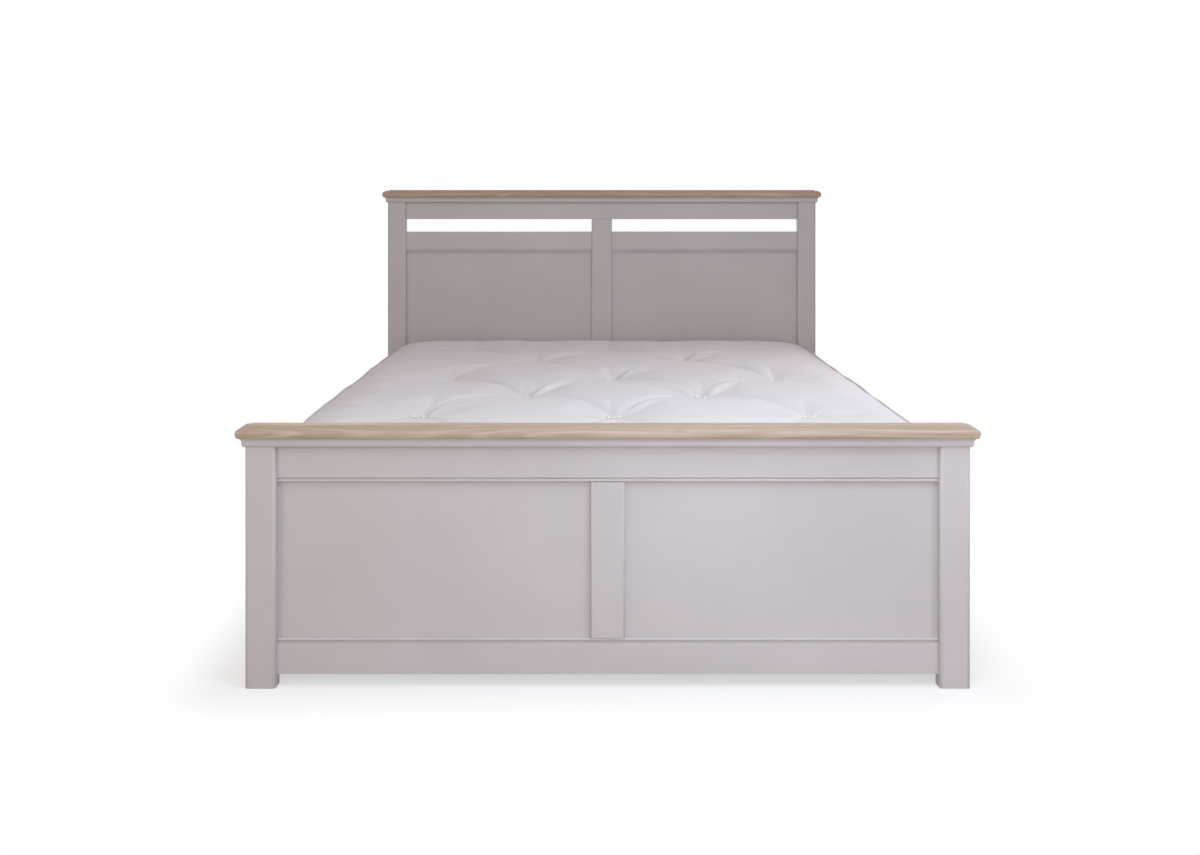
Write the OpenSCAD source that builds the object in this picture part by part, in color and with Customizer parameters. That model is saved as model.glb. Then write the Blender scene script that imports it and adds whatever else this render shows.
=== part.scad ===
// Storage bed, king size. A painted frame with oak caps holds a storage well,
// and a slatted steel platform lifts at the foot end on two pairs of links and gas struts.
// X runs to the right as seen from the foot, Y towards the headboard, Z up.
// The origin is on the floor, in the middle of the bed.

/* [Mattress] */
// Width of the mattress
mattress_w = 1500; // [1200:10:1800]
// Length of the mattress
mattress_l = 2000; // [1900:10:2100]
// Height of the mattress at its edge
mattress_h = 230; // [180:5:300]
// Rise of the middle of the mattress above its edge
mattress_crown = 18; // [0:1:40]
// Depth of the sewn tufts
tuft_depth = 22; // [5:1:35]
// Distance between tufts across the mattress
tuft_pitch_x = 480; // [300:10:560]
// Distance between rows of tufts along the mattress
tuft_pitch_y = 350; // [250:10:420]

/* [Posts and legs] */
// Width of a leg or post
leg_w = 68; // [60:1:90]
// Depth of a leg or post
leg_d = 45; // [42:1:70]
// Radius of the leg's long edges
leg_edge_r = 8; // [2:0.5:12]
// Distance by which a leg stands out past the side rail
leg_reveal = 15; // [5:1:25]

/* [Heights] */
// Height of the footboard
foot_h = 580; // [540:5:700]
// Height of the headboard
head_h = 1112; // [900:2:1400]
// Clear height under the rails
floor_gap = 28; // [22:1:60]
// Underside of the lift platform's tubes
platform_z = 244; // [244:1:290]

/* [Rails and panels] */
// Depth by which the rails are set back from the face of the legs
rail_setback = 12; // [5:0.5:16]
// Height of the plain face of the bottom rails
bottom_rail_h = 70; // [50:1:110]
// Height of the plain face of the footboard's top rail
foot_top_rail_h = 70; // [50:1:110]
// Height of the headboard's top rail
head_top_rail_h = 62; // [45:1:90]
// Height of the open slot under the headboard's top rail
slot_h = 47; // [20:1:90]
// Height of the plain face of the headboard's middle rails
mid_rail_h = 66; // [40:1:110]
// Width of the centre stiles
stile_w = 76; // [50:1:110]
// Distance by which a stile stands out from the rail face
stile_proud = 2; // [0.5:0.5:5]
// Thickness of a panel
panel_t = 9; // [6:0.5:10]
// Depth of a panel's face behind the rail face
panel_setback = 10; // [8:0.5:12]
// Depth of the grooves that hold the panels
groove_d = 10; // [6:0.5:14]
// Radius of the bead along the rails
bead_r = 3.5; // [2:0.5:5]
// Width of the quirk beside the bead
quirk_w = 3; // [1:0.5:5]

/* [Caps] */
// Thickness of an oak cap
cap_t = 27; // [20:0.5:36]
// Distance by which a cap overhangs the legs
cap_over = 18; // [14:0.5:19]
// Height of the painted cornice under a cap
cornice_h = 20; // [14:0.5:30]

/* [Side rails and floor] */
// Thickness of a side rail
side_rail_t = 25; // [20:1:32]
// Height of a side rail
side_rail_h = 317; // [300:1:340]
// Gap between the mattress and a side rail
side_gap = 10; // [8:1:20]
// Gap between the mattress and the footboard
foot_gap = 26; // [24:1:40]
// Gap between the mattress and the headboard's posts
head_gap = 14; // [12:1:30]
// Thickness of the floor boards
floor_t = 12; // [9:1:15]
// Height and width of the floor ledgers
ledger_s = 20; // [15:1:20]

/* [Lift platform] */
// Outer size of the platform's square tube
tube_s = 40; // [30:1:40]
// Wall of the platform's tube
tube_wall = 2; // [1.5:0.25:3]
// Number of slats in one column
slat_count = 14; // [10:1:16]
// Width of a slat
slat_w = 68; // [50:1:80]
// Thickness of a slat
slat_t = 8; // [6:0.5:10]

/* [Mechanism] */
// Thickness of a hinge plate and a platform bracket
plate_t = 4; // [3:0.5:4]
// Thickness of a link
link_t = 3.5; // [2.5:0.5:3.5]
// Width of the main link
main_link_w = 36; // [28:1:36]
// Width of the rear link
rear_link_w = 30; // [24:1:36]
// Radius of a link pin
pin_r = 6; // [4:0.5:7]
// Radius of a gas strut's cylinder
strut_r = 10; // [8:0.5:10]
// Radius of a gas strut's rod
strut_rod_r = 5; // [3:0.5:6]

/* [Hidden] */
$fn = 48;
ARC = 10;

// Colours
paint = "#bfb8b6";
oak = "#c3ae9a";
pine = "#cdb68e";
board = "#d9d2c6";
steel = "#6e7074";
zinc = "#b9bcc0";
black = "#2a2a2c";
cotton = "#e6e2e4";

// Fits
joint_fit = 0.2;
run_fit = 0.05;
face_gap = 0.3;
open_pivot_fit = 1.3;
strut_pivot_fit = 1.8;
slide_fit = 0.05;
screw_fit = 0.1;

// How far a cut runs past the face that it opens
cut = 1;

// Plan of the bed
side_in_x = mattress_w / 2 + side_gap;
side_out_x = side_in_x + side_rail_t;
leg_out_x = side_out_x + leg_reveal;
leg_in_x = leg_out_x - leg_w;
inner_l = mattress_l + foot_gap + head_gap;
head_in_y = inner_l / 2;
foot_in_y = -inner_l / 2;
head_face_y = head_in_y;
foot_face_y = foot_in_y - leg_d;
mattress_foot_y = foot_in_y + foot_gap;
mattress_head_y = head_in_y - head_gap;
mattress_mid_y = (mattress_foot_y + mattress_head_y) / 2;

// Board section, measured from the front face of the legs
rail_t = leg_d - rail_setback;
bead_h = 2 * bead_r;
quirk_d = bead_r + 0.5;
panel_y = rail_setback + panel_setback;
tenon_l = 20;
tenon_t = 12;
tenon_shoulder = 10;
stile_edge_r = 4.5;
tongue_gap = 1;
tongue_w = stile_w - 2 * groove_d - 2 * tongue_gap;

// Levels of the two boards
bottom_bead_z = floor_gap + bottom_rail_h + quirk_w + bead_h;
foot_cornice_z = foot_h - cap_t - cornice_h;
foot_top_z = foot_cornice_z - foot_top_rail_h - quirk_w - bead_h;
head_cornice_z = head_h - cap_t - cornice_h;
head_top_z = head_cornice_z - head_top_rail_h;
mid_top_z = head_top_z - slot_h;
mid_z = mid_top_z - mid_rail_h - quirk_w - bead_h;

// Cap and cornice sections
cap_under = 5;
cap_nose_z = 0.45 * cap_t;
cap_ovolo_w = 21;
cap_inset = 23;
cap_fillet = 2.5;
cornice_foot = 1.5;
cornice_mid = 6;
cornice_out = 10;
cornice_round = 0.4;
cornice_cove = 0.425;
cornice_cove_z = 0.475;

// Storage floor
floor_z = floor_gap + ledger_s;
board_gap = 2;
board_edge_gap = 2;
board_l = (inner_l - 4 * board_gap) / 3;
batten_w = 60;
feet_r = 20;
feet_neck_r = 12;
feet_pad_h = 8;
feet_x = 380;

// Rest points of the platform
bearer_h = 40;
bearer_w = 65;
bearer_end_gap = 2;
rest_y = [-620, -180];
rest_w = 80;
rest_l = 90;
rest_h = 50;
pad_t = 4;
pad_inset = 10;

// Platform
tube_top_z = platform_z + tube_s;
tube_gap = 45;
tube_out_x = side_in_x - tube_gap;
tube_in_x = tube_out_x - tube_s;
platform_foot_inset = 9;
platform_head_inset = 6;
platform_foot_y = mattress_foot_y + platform_foot_inset;
platform_head_y = mattress_head_y - platform_head_inset;
holder_cover = 2;
holder_wall = 4;
slat_fit = 0.2;
holder_h = 16;
mattress_z = tube_top_z + holder_h;
slat_z = mattress_z - holder_cover - slat_fit - slat_t;
slat_pitch = (platform_head_y - platform_foot_y - tube_s) / slat_count;
holder_grip = 30;
holder_over = 4;
slat_in_x = 4;
holder_out_x = tube_out_x + holder_over;
slat_end_gap = 2;
slat_out_x = holder_out_x - holder_wall - slat_end_gap;
stop_x = 350;
stop_w = 60;
stop_h = 106;
stop_t = 4;
stop_gap = 1.5;
stop_seat = 32;

// Pivots, each by its distance from the headboard and its height over the platform's underside
main_low = [598, -142];
main_high = [194, -51];
rear_low = [415, -13];
rear_high = [139, 17];
strut_low = [277, -165];
strut_high = [70, -27];

// The same pivots in the (Y, Z) plane: a to b the main link, c to e the rear link, f to g the strut
function from_head(place) = [head_in_y - place[0], platform_z + place[1]];
pivot_a = from_head(main_low);
pivot_b = from_head(main_high);
pivot_c = from_head(rear_low);
pivot_e = from_head(rear_high);
pivot_f = from_head(strut_low);
pivot_g = from_head(strut_high);

// Planes of the mechanism, as distances inwards from the side rail
rear_gap = 0.5;
main_gap = 3.5;
bracket_gap = 3;
strut_gap = 1;
plate_in = plate_t;
rear_out = plate_in + rear_gap;
rear_in = rear_out + link_t;
main_out = rear_in + main_gap;
main_in = main_out + link_t;
bracket_out = main_in + bracket_gap;
bracket_in = bracket_out + plate_t;
strut_mid = bracket_in + strut_r + strut_gap;
eye_spare = 1;
eye_t = 2 * strut_rod_r + eye_spare;
hinge_plate_r = 16;
bracket_r = 18;
pin_head_r = 10;
pin_head_t = 2.4;
strut_pin_r = 4;
strut_eye_r = 10;
strut_len = norm(pivot_g - pivot_f);
strut_angle = atan2(pivot_g[1] - pivot_f[1], pivot_g[0] - pivot_f[0]);
strut_rod_shown = 62;
strut_body_l = strut_len - strut_rod_shown;
strut_bore_r = strut_rod_r + slide_fit;
rod_in_l = 130;
screw_r = 3;
screw_head_r = 5.5;
screw_head_t = 2.2;
screw_l = 20;

// Screws of a hinge plate, as steps from the main link's lower pivot
screw_places = [
    pivot_a + [46, 16], pivot_a + [140, 8], pivot_a + [140, 60],
    pivot_a + [215, 20], pivot_a + [270, 4], pivot_a + [215, 70],
];

// Corner brackets
corner_t = 3;
corner_leg = 50;
corner_z = 90;
corner_h = 200;
bolt_r = 4;
bolt_head_r = 7.5;
bolt_head_t = 3.5;
bolt_rail_l = 20;
bolt_leg_l = 28;
bolt_drop = 40;
bolt_leg_x = 14;
bolt_offset = 4;
bolt_dome = 0.7;

// Mattress form
mattress_corner_r = 60;
mattress_inset = 9;
mattress_waist = 5;
mattress_roll = 16;
tuft_spread = 62;
edge_power = 6;
crown_power = 4;
crease_depth = 7;
crease_spread = 34;
diagonal_slope = 0.82;
cell_x = tuft_pitch_x / 8;
cell_y = tuft_pitch_y / 4;

// Points of an elliptic arc about c, with half axes rx and rz, from angle a0 to a1
function arc(c, rx, rz, a0, a1) =
    [for (i = [0 : ARC]) let (a = a0 + (a1 - a0) * i / ARC) [c[0] + rx * cos(a), c[1] + rz * sin(a)]];

// An outline that is the same on both sides of its middle
function both_sides(edge) = concat(edge, [for (i = [len(edge) - 1 : -1 : 0]) [-edge[i][0], edge[i][1]]]);

// Right edge of a cap whose widest part is w from its middle
function cap_edge(w) = concat(
    arc([w - cap_under, cap_nose_z], cap_under, cap_nose_z, -90, 0),
    arc([w - cap_ovolo_w, cap_nose_z], cap_ovolo_w, cap_t - cap_fillet - cap_nose_z, 0, 90),
    [[w - cap_inset, cap_t - cap_fillet], [w - cap_inset, cap_t]]);

// Right edge of a cornice round a leg whose face is w from the middle
function cornice_edge(w) = concat(
    arc([w + cornice_foot, cornice_round * cornice_h],
        cornice_mid - cornice_foot, cornice_round * cornice_h, -90, 0),
    arc([w + cornice_out, cornice_cove_z * cornice_h],
        cornice_out - cornice_mid, cornice_cove * cornice_h, 180, 90),
    [[w + cornice_out, cornice_h]]);

// Extrudes a (Y, Z) outline along X, from x0 to x1
module along_x(x0, x1) {
    translate([x0, 0, 0]) rotate([90, 0, 90]) linear_extrude(x1 - x0) children();
}

// Extrudes an (X, Z) outline along Y, centred on y = 0
module along_y(l) {
    rotate([90, 0, 0]) linear_extrude(l, center = true) children();
}

// Draws its children and their mirror image on the left side
module both() {
    children();
    mirror([1, 0, 0]) children();
}

module rounded_rect(w, d, r) {
    square([w - 2 * r, d], center = true);
    square([w, d - 2 * r], center = true);
    for (x = [-1, 1], y = [-1, 1]) translate([x * (w / 2 - r), y * (d / 2 - r)]) circle(r);
}

// Direction that looks out of the edge from p to q, for corners listed anticlockwise
function outward(p, q) = atan2(q[1] - p[1], q[0] - p[0]) - 90;

// Arc of radius r round corner i, from the edge before it to the edge after it
function round_at(points, i, r) = let (
    n = len(points),
    a0 = outward(points[(i + n - 1) % n], points[i]),
    a1 = outward(points[i], points[(i + 1) % n]))
    arc(points[i], r, r, a0, a1 < a0 ? a1 + 360 : a1);

// A polygon grown by r all round, with round corners. Two points give a flat bar with round ends
module plate_outline(points, r) {
    polygon([for (i = [0 : len(points) - 1]) each round_at(points, i, r)]);
}

// A sheet in the (Y, Z) plane on the right side, between two distances inwards from the side rail
module sheet(inner, outer) {
    along_x(side_in_x - inner, side_in_x - outer) children();
}

// A pin along X on the right side, at a (Y, Z) point, between two distances from the side rail
module pin(p, r, inner, outer) {
    along_x(side_in_x - inner, side_in_x - outer) translate(p) circle(r);
}

// Board parts. y0 is the front face of the legs, and a board's front looks towards -Y

// Outline of a rail with its bead at the top or the bottom edge
module beaded_rail(plain_h, bead_at_top) {
    h = plain_h + quirk_w + bead_h;
    edge = concat(
        [[0, 0], [rail_t, 0], [rail_t, h]],
        arc([bead_r, h - bead_r], bead_r, bead_r, 90, 270),
        [[quirk_d, h - bead_h], [quirk_d, plain_h], [0, plain_h]]);
    if (bead_at_top) polygon(edge);
    else translate([0, h]) mirror([0, 1]) polygon(edge);
}

// Groove for the panels, in the (Y, Z) plane
module groove_outline(h) {
    translate([panel_y - joint_fit, 0]) square([panel_t + 2 * joint_fit, h]);
}

module tenon(x0, x1, y0, z0, h, fit) {
    y = y0 + rail_setback + (rail_t - tenon_t) / 2;
    z = z0 + tenon_shoulder;
    translate([x0, y - fit, z - fit]) cube([x1 - x0, tenon_t + 2 * fit, h - 2 * tenon_shoulder + 2 * fit]);
}

// A bottom rail between the legs, with a bead and a groove along its upper edge
module bottom_rail(y0) {
    difference() {
        translate([0, y0 + rail_setback, floor_gap])
            along_x(-leg_in_x, leg_in_x) beaded_rail(bottom_rail_h, true);
        translate([0, y0, bottom_bead_z - groove_d])
            along_x(-leg_in_x - joint_fit, leg_in_x + joint_fit) groove_outline(groove_d + joint_fit);
    }
    both() tenon(leg_in_x, leg_in_x + tenon_l, y0, floor_gap, bottom_full_h, 0);
}

module leg(y0, h, rails, panel_z0, panel_z1) {
    difference() {
        translate([leg_out_x - leg_w / 2, y0 + leg_d / 2, 0])
            linear_extrude(h) rounded_rect(leg_w, leg_d, leg_edge_r);
        for (r = rails) tenon(leg_in_x - joint_fit, leg_in_x + tenon_l + joint_fit, y0, r[0], r[1], joint_fit);
        translate([0, y0, panel_z0 - groove_d]) along_x(leg_in_x - joint_fit, leg_in_x + groove_d)
            groove_outline(panel_z1 - panel_z0 + 2 * groove_d);
        for (p = leg_bolt_places) leg_bolt_hole(y0, p);
    }
}

// A panel in its grooves, from the leg to the stile
module panel(y0, z0, z1) {
    x0 = stile_w / 2 - groove_d + joint_fit;
    x1 = leg_in_x + groove_d - joint_fit;
    y = y0 + panel_y;
    translate([x0, y, z0 - groove_d + joint_fit])
        cube([x1 - x0, panel_t, z1 - z0 + 2 * groove_d - 2 * joint_fit]);
}

// Stile section in plan, with softened front edges and a groove on each side
module stile_section() {
    d = rail_t + stile_proud;
    r = stile_edge_r;
    difference() {
        union() {
            translate([-stile_w / 2, r]) square([stile_w, d - r]);
            translate([-stile_w / 2 + r, 0]) square([stile_w - 2 * r, r]);
            for (x = [-1, 1]) translate([x * (stile_w / 2 - r), r]) circle(r);
        }
        for (x = [-1, 1]) translate([x * stile_w / 2, stile_proud + panel_setback + panel_t / 2])
            square([2 * groove_d, panel_t + 2 * joint_fit], center = true);
    }
}

// A stile with a tongue in the groove of the rail above and below
module stile(y0, z0, z1) {
    translate([0, y0 + rail_setback - stile_proud, z0]) linear_extrude(z1 - z0) stile_section();
    translate([-tongue_w / 2, y0 + panel_y, z0 - groove_d + joint_fit])
        cube([tongue_w, panel_t, z1 - z0 + 2 * groove_d - 2 * joint_fit]);
}

// A moulding whose section is the same on all four sides, with mitred corners
module cap(y0, z0) {
    w = leg_out_x + cap_over;
    d = leg_d / 2 + cap_over;
    translate([0, y0 + leg_d / 2, z0]) intersection() {
        along_x(-w - cut, w + cut) polygon(both_sides(cap_edge(d)));
        along_y(2 * (d + cut)) polygon(both_sides(cap_edge(w)));
    }
}

module cornice(y0, z0) {
    w = leg_out_x + cornice_out + cut;
    d = leg_d / 2 + cornice_out + cut;
    translate([0, y0 + leg_d / 2, z0]) intersection() {
        along_x(-w, w) polygon(both_sides(cornice_edge(leg_d / 2)));
        along_y(2 * d) polygon(both_sides(cornice_edge(leg_out_x)));
    }
}

// Headboard
bottom_full_h = bottom_rail_h + quirk_w + bead_h;
foot_top_full_h = foot_top_rail_h + quirk_w + bead_h;
mid_full_h = mid_rail_h + quirk_w + bead_h;
head_rails = [[floor_gap, bottom_full_h], [mid_z, mid_full_h], [head_top_z, head_top_rail_h]];
foot_rails = [[floor_gap, bottom_full_h], [foot_top_z, foot_top_full_h]];

module head_post_right() {
    color(paint) leg(head_face_y, head_cornice_z, head_rails, bottom_bead_z, mid_z);
}
module head_post_left() {
    mirror([1, 0, 0]) head_post_right();
}
module head_cap() {
    color(oak) cap(head_face_y, head_h - cap_t);
}
module head_cornice() {
    color(paint) cornice(head_face_y, head_cornice_z);
}

// Mortise in the headboard's top rail for the head of the stile
module stile_mortise() {
    w = tongue_w + 2 * joint_fit;
    translate([-w / 2, head_face_y + panel_y - joint_fit, head_top_z - joint_fit])
        cube([w, panel_t + 2 * joint_fit, groove_d + joint_fit]);
}
module head_top_rail() {
    color(paint) difference() {
        union() {
            translate([0, head_face_y + rail_setback, head_top_z])
                along_x(-leg_in_x, leg_in_x) square([rail_t, head_top_rail_h]);
            both() tenon(leg_in_x, leg_in_x + tenon_l, head_face_y, head_top_z, head_top_rail_h, 0);
        }
        stile_mortise();
    }
}
module head_mid_rail_right() {
    color(paint) {
        difference() {
            translate([0, head_face_y + rail_setback, mid_z])
                along_x(stile_w / 2, leg_in_x) beaded_rail(mid_rail_h, false);
            translate([0, head_face_y, mid_z - joint_fit])
                along_x(stile_w / 2 - joint_fit, leg_in_x + joint_fit) groove_outline(groove_d + joint_fit);
        }
        tenon(leg_in_x, leg_in_x + tenon_l, head_face_y, mid_z, mid_full_h, 0);
        mid_tongue();
    }
}

// Tongue of a middle rail in the stile's groove
module mid_tongue() {
    x0 = stile_w / 2 - groove_d + joint_fit;
    translate([x0, head_face_y + panel_y, mid_z + tenon_shoulder])
        cube([groove_d, panel_t, mid_full_h - 2 * tenon_shoulder]);
}
module head_mid_rail_left() {
    mirror([1, 0, 0]) head_mid_rail_right();
}
module head_bottom_rail() {
    color(paint) bottom_rail(head_face_y);
}
module head_stile() {
    color(paint) stile(head_face_y, bottom_bead_z, head_top_z);
}
module head_panel_right() {
    color(paint) panel(head_face_y, bottom_bead_z, mid_z);
}
module head_panel_left() {
    mirror([1, 0, 0]) head_panel_right();
}

// Footboard
module foot_leg_right() {
    color(paint) leg(foot_face_y, foot_cornice_z, foot_rails, bottom_bead_z, foot_top_z);
}
module foot_leg_left() {
    mirror([1, 0, 0]) foot_leg_right();
}
module foot_cap() {
    color(oak) cap(foot_face_y, foot_h - cap_t);
}
module foot_cornice() {
    color(paint) cornice(foot_face_y, foot_cornice_z);
}
module foot_top_rail() {
    color(paint) {
        difference() {
            translate([0, foot_face_y + rail_setback, foot_top_z])
                along_x(-leg_in_x, leg_in_x) beaded_rail(foot_top_rail_h, false);
            translate([0, foot_face_y, foot_top_z - joint_fit])
                along_x(-leg_in_x - joint_fit, leg_in_x + joint_fit) groove_outline(groove_d + joint_fit);
        }
        both() tenon(leg_in_x, leg_in_x + tenon_l, foot_face_y, foot_top_z, foot_top_full_h, 0);
    }
}
module foot_bottom_rail() {
    color(paint) bottom_rail(foot_face_y);
}
module foot_stile() {
    color(paint) stile(foot_face_y, bottom_bead_z, foot_top_z);
}
module foot_panel_right() {
    color(paint) panel(foot_face_y, bottom_bead_z, foot_top_z);
}
module foot_panel_left() {
    mirror([1, 0, 0]) foot_panel_right();
}

// Side rails, with softened long edges and pilot holes for the screws and bolts
side_edge_r = 4;
module side_rail_right() {
    mid = [side_in_x + side_rail_t / 2, floor_gap + side_rail_h / 2];
    color(paint) difference() {
        along_y(inner_l) translate(mid) rounded_rect(side_rail_t, side_rail_h, side_edge_r);
        for (p = screw_places) along_x(side_in_x - cut, side_in_x + screw_l)
            translate(p) circle(screw_r + screw_fit);
        for (e = [-1, 1], z = corner_bolt_z) rail_bolt_hole(e, z);
    }
}
module side_rail_left() {
    mirror([1, 0, 0]) side_rail_right();
}

// Corner brackets join each side rail to a leg, with two bolts each way
corner_bolt_z = [corner_z + bolt_drop, corner_z + corner_h - bolt_drop];
corner_bolt_y = head_in_y - corner_t - corner_leg / 2 - bolt_offset;
leg_bolt_places = [for (z = corner_bolt_z) [side_in_x - bolt_leg_x, z]];

module rail_bolt_hole(end, z) {
    along_x(side_in_x - cut, side_in_x + bolt_rail_l + joint_fit)
        translate([end * corner_bolt_y, z]) circle(bolt_r + screw_fit);
}
module leg_bolt_hole(y0, p) {
    inner = y0 > 0 ? y0 : y0 + leg_d;
    out = y0 > 0 ? 1 : -1;
    translate([p[0], inner + out * (bolt_leg_l - cut) / 2, p[1]])
        rotate([90, 0, 0]) cylinder(h = bolt_leg_l + cut + joint_fit, r = bolt_r + screw_fit, center = true);
}

module corner_bracket() {
    difference() {
        translate([side_in_x, head_in_y, corner_z]) {
            translate([-corner_t, -corner_leg, 0]) cube([corner_t, corner_leg, corner_h]);
            translate([-corner_leg / 2, -corner_t, 0]) cube([corner_leg / 2, corner_t, corner_h]);
        }
        for (z = corner_bolt_z) {
            along_x(side_in_x - corner_t - cut, side_in_x + cut)
                translate([corner_bolt_y, z]) circle(bolt_r + joint_fit);
            translate([side_in_x - bolt_leg_x, head_in_y - corner_t / 2, z])
                rotate([90, 0, 0]) cylinder(h = corner_t + 2 * cut, r = bolt_r + joint_fit, center = true);
        }
    }
}
module corner_brackets() {
    color(zinc) both() for (e = [0, 1]) mirror([0, e, 0]) corner_bracket();
}

// A domed bolt along +X from the face x
module bolt(head_r, head_t, r, l) {
    rotate([0, 90, 0]) {
        cylinder(h = l, r = r);
        translate([0, 0, -head_t]) cylinder(h = head_t, r1 = bolt_dome * head_r, r2 = head_r);
    }
}
module corner_bolts() {
    color(zinc) both() for (e = [0, 1], z = corner_bolt_z) mirror([0, e, 0]) {
        translate([side_in_x - corner_t, corner_bolt_y, z])
            bolt(bolt_head_r, bolt_head_t, bolt_r, corner_t + bolt_rail_l);
        translate([side_in_x - bolt_leg_x, head_in_y - corner_t, z])
            rotate(90) bolt(bolt_head_r, bolt_head_t, bolt_r, corner_t + bolt_leg_l - cut);
    }
}

// Storage floor
module floor_ledgers() {
    l = inner_l - 2 * board_gap;
    color(pine) both() translate([side_in_x - ledger_s, -l / 2, floor_gap]) cube([ledger_s, l, ledger_s]);
}
module floor_batten(y) {
    l = 2 * (side_in_x - ledger_s - joint_fit);
    translate([-l / 2, y - batten_w / 2, floor_gap]) cube([l, batten_w, ledger_s]);
}
batten_y = (board_l + board_gap) / 2;
module floor_battens() {
    color(pine) for (e = [-1, 1]) floor_batten(e * batten_y);
}
module floor_board(i) {
    w = 2 * (side_in_x - board_edge_gap);
    y = (i - 1.5) * (board_l + board_gap) + board_gap / 2;
    color(board) translate([-w / 2, y, floor_z]) cube([w, board_l, floor_t]);
}
module floor_board_foot() {
    floor_board(0);
}
module floor_board_middle() {
    floor_board(1);
}
module floor_board_head() {
    floor_board(2);
}
module centre_foot() {
    cylinder(h = feet_pad_h, r = feet_r);
    cylinder(h = floor_gap, r = feet_neck_r);
}
module centre_feet() {
    color(black) for (x = [-1, 0, 1], e = [-1, 1]) translate([x * feet_x, e * batten_y, 0]) centre_foot();
}

// Rest points of the platform
module foot_bearer() {
    w = 2 * (side_in_x - corner_leg / 2 - bearer_end_gap);
    color(pine) translate([-w / 2, foot_in_y, platform_z - bearer_h]) cube([w, bearer_w, bearer_h]);
}
module rest_blocks() {
    color(pine) both() for (y = rest_y)
        translate([side_in_x - rest_w, y - rest_l / 2, platform_z - pad_t - rest_h])
            cube([rest_w, rest_l, rest_h]);
}
module rest_pads() {
    w = rest_w - 2 * pad_inset;
    l = rest_l - 2 * pad_inset;
    color(black) both() for (y = rest_y)
        translate([side_in_x - rest_w + pad_inset, y - l / 2, platform_z - pad_t]) cube([w, l, pad_t]);
}

// Platform frame of square tube, mitred at its corners
module tube_section() {
    difference() {
        square(tube_s);
        translate([tube_wall, tube_wall]) square(tube_s - 2 * tube_wall);
    }
}

// Plan of one side of the frame, between two corners of its mitres
module mitre_side() {
    linear_extrude(tube_s + 2 * cut) polygon([
        [tube_out_x, platform_foot_y], [tube_out_x, platform_head_y],
        [tube_in_x, platform_head_y - tube_s], [tube_in_x, platform_foot_y + tube_s]]);
}
module mitre_end(y, inward) {
    linear_extrude(tube_s + 2 * cut) polygon([
        [-tube_out_x, y], [tube_out_x, y],
        [tube_in_x, y + inward * tube_s], [-tube_in_x, y + inward * tube_s]]);
}
module side_tube_right() {
    l = platform_head_y - platform_foot_y;
    color(steel) intersection() {
        translate([tube_in_x, (platform_foot_y + platform_head_y) / 2, platform_z]) along_y(l) tube_section();
        translate([0, 0, platform_z - cut]) mitre_side();
    }
}
module side_tube_left() {
    mirror([1, 0, 0]) side_tube_right();
}
module foot_tube() {
    color(steel) intersection() {
        translate([0, platform_foot_y, platform_z]) along_x(-tube_out_x, tube_out_x) tube_section();
        translate([0, 0, platform_z - cut]) mitre_end(platform_foot_y, 1);
    }
}
module head_tube() {
    color(steel) intersection() {
        translate([0, platform_head_y - tube_s, platform_z]) along_x(-tube_out_x, tube_out_x) tube_section();
        translate([0, 0, platform_z - cut]) mitre_end(platform_head_y, -1);
    }
}
module centre_tube() {
    l = platform_head_y - platform_foot_y - 2 * tube_s;
    color(steel) translate([-tube_s / 2, (platform_foot_y + platform_head_y) / 2, platform_z])
        along_y(l) tube_section();
}

// Slats and their holders
function slat_y(i) = platform_foot_y + tube_s / 2 + slat_pitch * (i + 0.5);
holder_l = slat_w + 2 * slat_fit + 2 * holder_wall;

module slats_right() {
    color(pine) for (i = [0 : slat_count - 1])
        translate([slat_in_x, slat_y(i) - slat_w / 2, slat_z]) cube([slat_out_x - slat_in_x, slat_w, slat_t]);
}
module slats_left() {
    mirror([1, 0, 0]) slats_right();
}

// Pocket that a slat's end slides into, from x0 to x1
module slat_pocket(x0, x1) {
    translate([x0, -slat_w / 2 - slat_fit, slat_z - tube_top_z - slat_fit])
        cube([x1 - x0, slat_w + 2 * slat_fit, slat_t + 2 * slat_fit]);
}
module outer_holder() {
    x0 = holder_out_x - holder_grip - holder_wall - slat_end_gap;
    difference() {
        translate([x0, -holder_l / 2, 0]) cube([holder_out_x - x0, holder_l, holder_h]);
        slat_pocket(x0 - cut, slat_out_x + slat_fit);
    }
}
module centre_holder() {
    x = slat_in_x + holder_grip;
    difference() {
        translate([-x, -holder_l / 2, 0]) cube([2 * x, holder_l, holder_h]);
        both() slat_pocket(slat_in_x - slat_fit, x + cut);
    }
}
module slat_holders_right() {
    color(black) for (i = [0 : slat_count - 1]) translate([0, slat_y(i), tube_top_z]) outer_holder();
}
module slat_holders_left() {
    mirror([1, 0, 0]) slat_holders_right();
}
module slat_holders_centre() {
    color(black) for (i = [0 : slat_count - 1]) translate([0, slat_y(i), tube_top_z]) centre_holder();
}

// Folded straps at the foot that keep the mattress on the lifted platform
module mattress_stop() {
    top_r = stop_w / 4;
    y0 = mattress_foot_y - stop_gap - stop_t;
    translate([0, y0 + stop_t / 2, tube_top_z]) along_y(stop_t) {
        translate([-stop_w / 2, 0]) square([stop_w, stop_h - top_r]);
        translate([-stop_w / 2 + top_r, 0]) square([stop_w - 2 * top_r, stop_h]);
        for (e = [-1, 1]) translate([e * (stop_w / 2 - top_r), stop_h - top_r]) circle(top_r);
    }
    translate([-stop_w / 2, y0, tube_top_z]) cube([stop_w, platform_foot_y + stop_seat - y0, stop_t]);
}
module mattress_stops() {
    color(steel) both() translate([stop_x, 0, 0]) mattress_stop();
}

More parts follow.
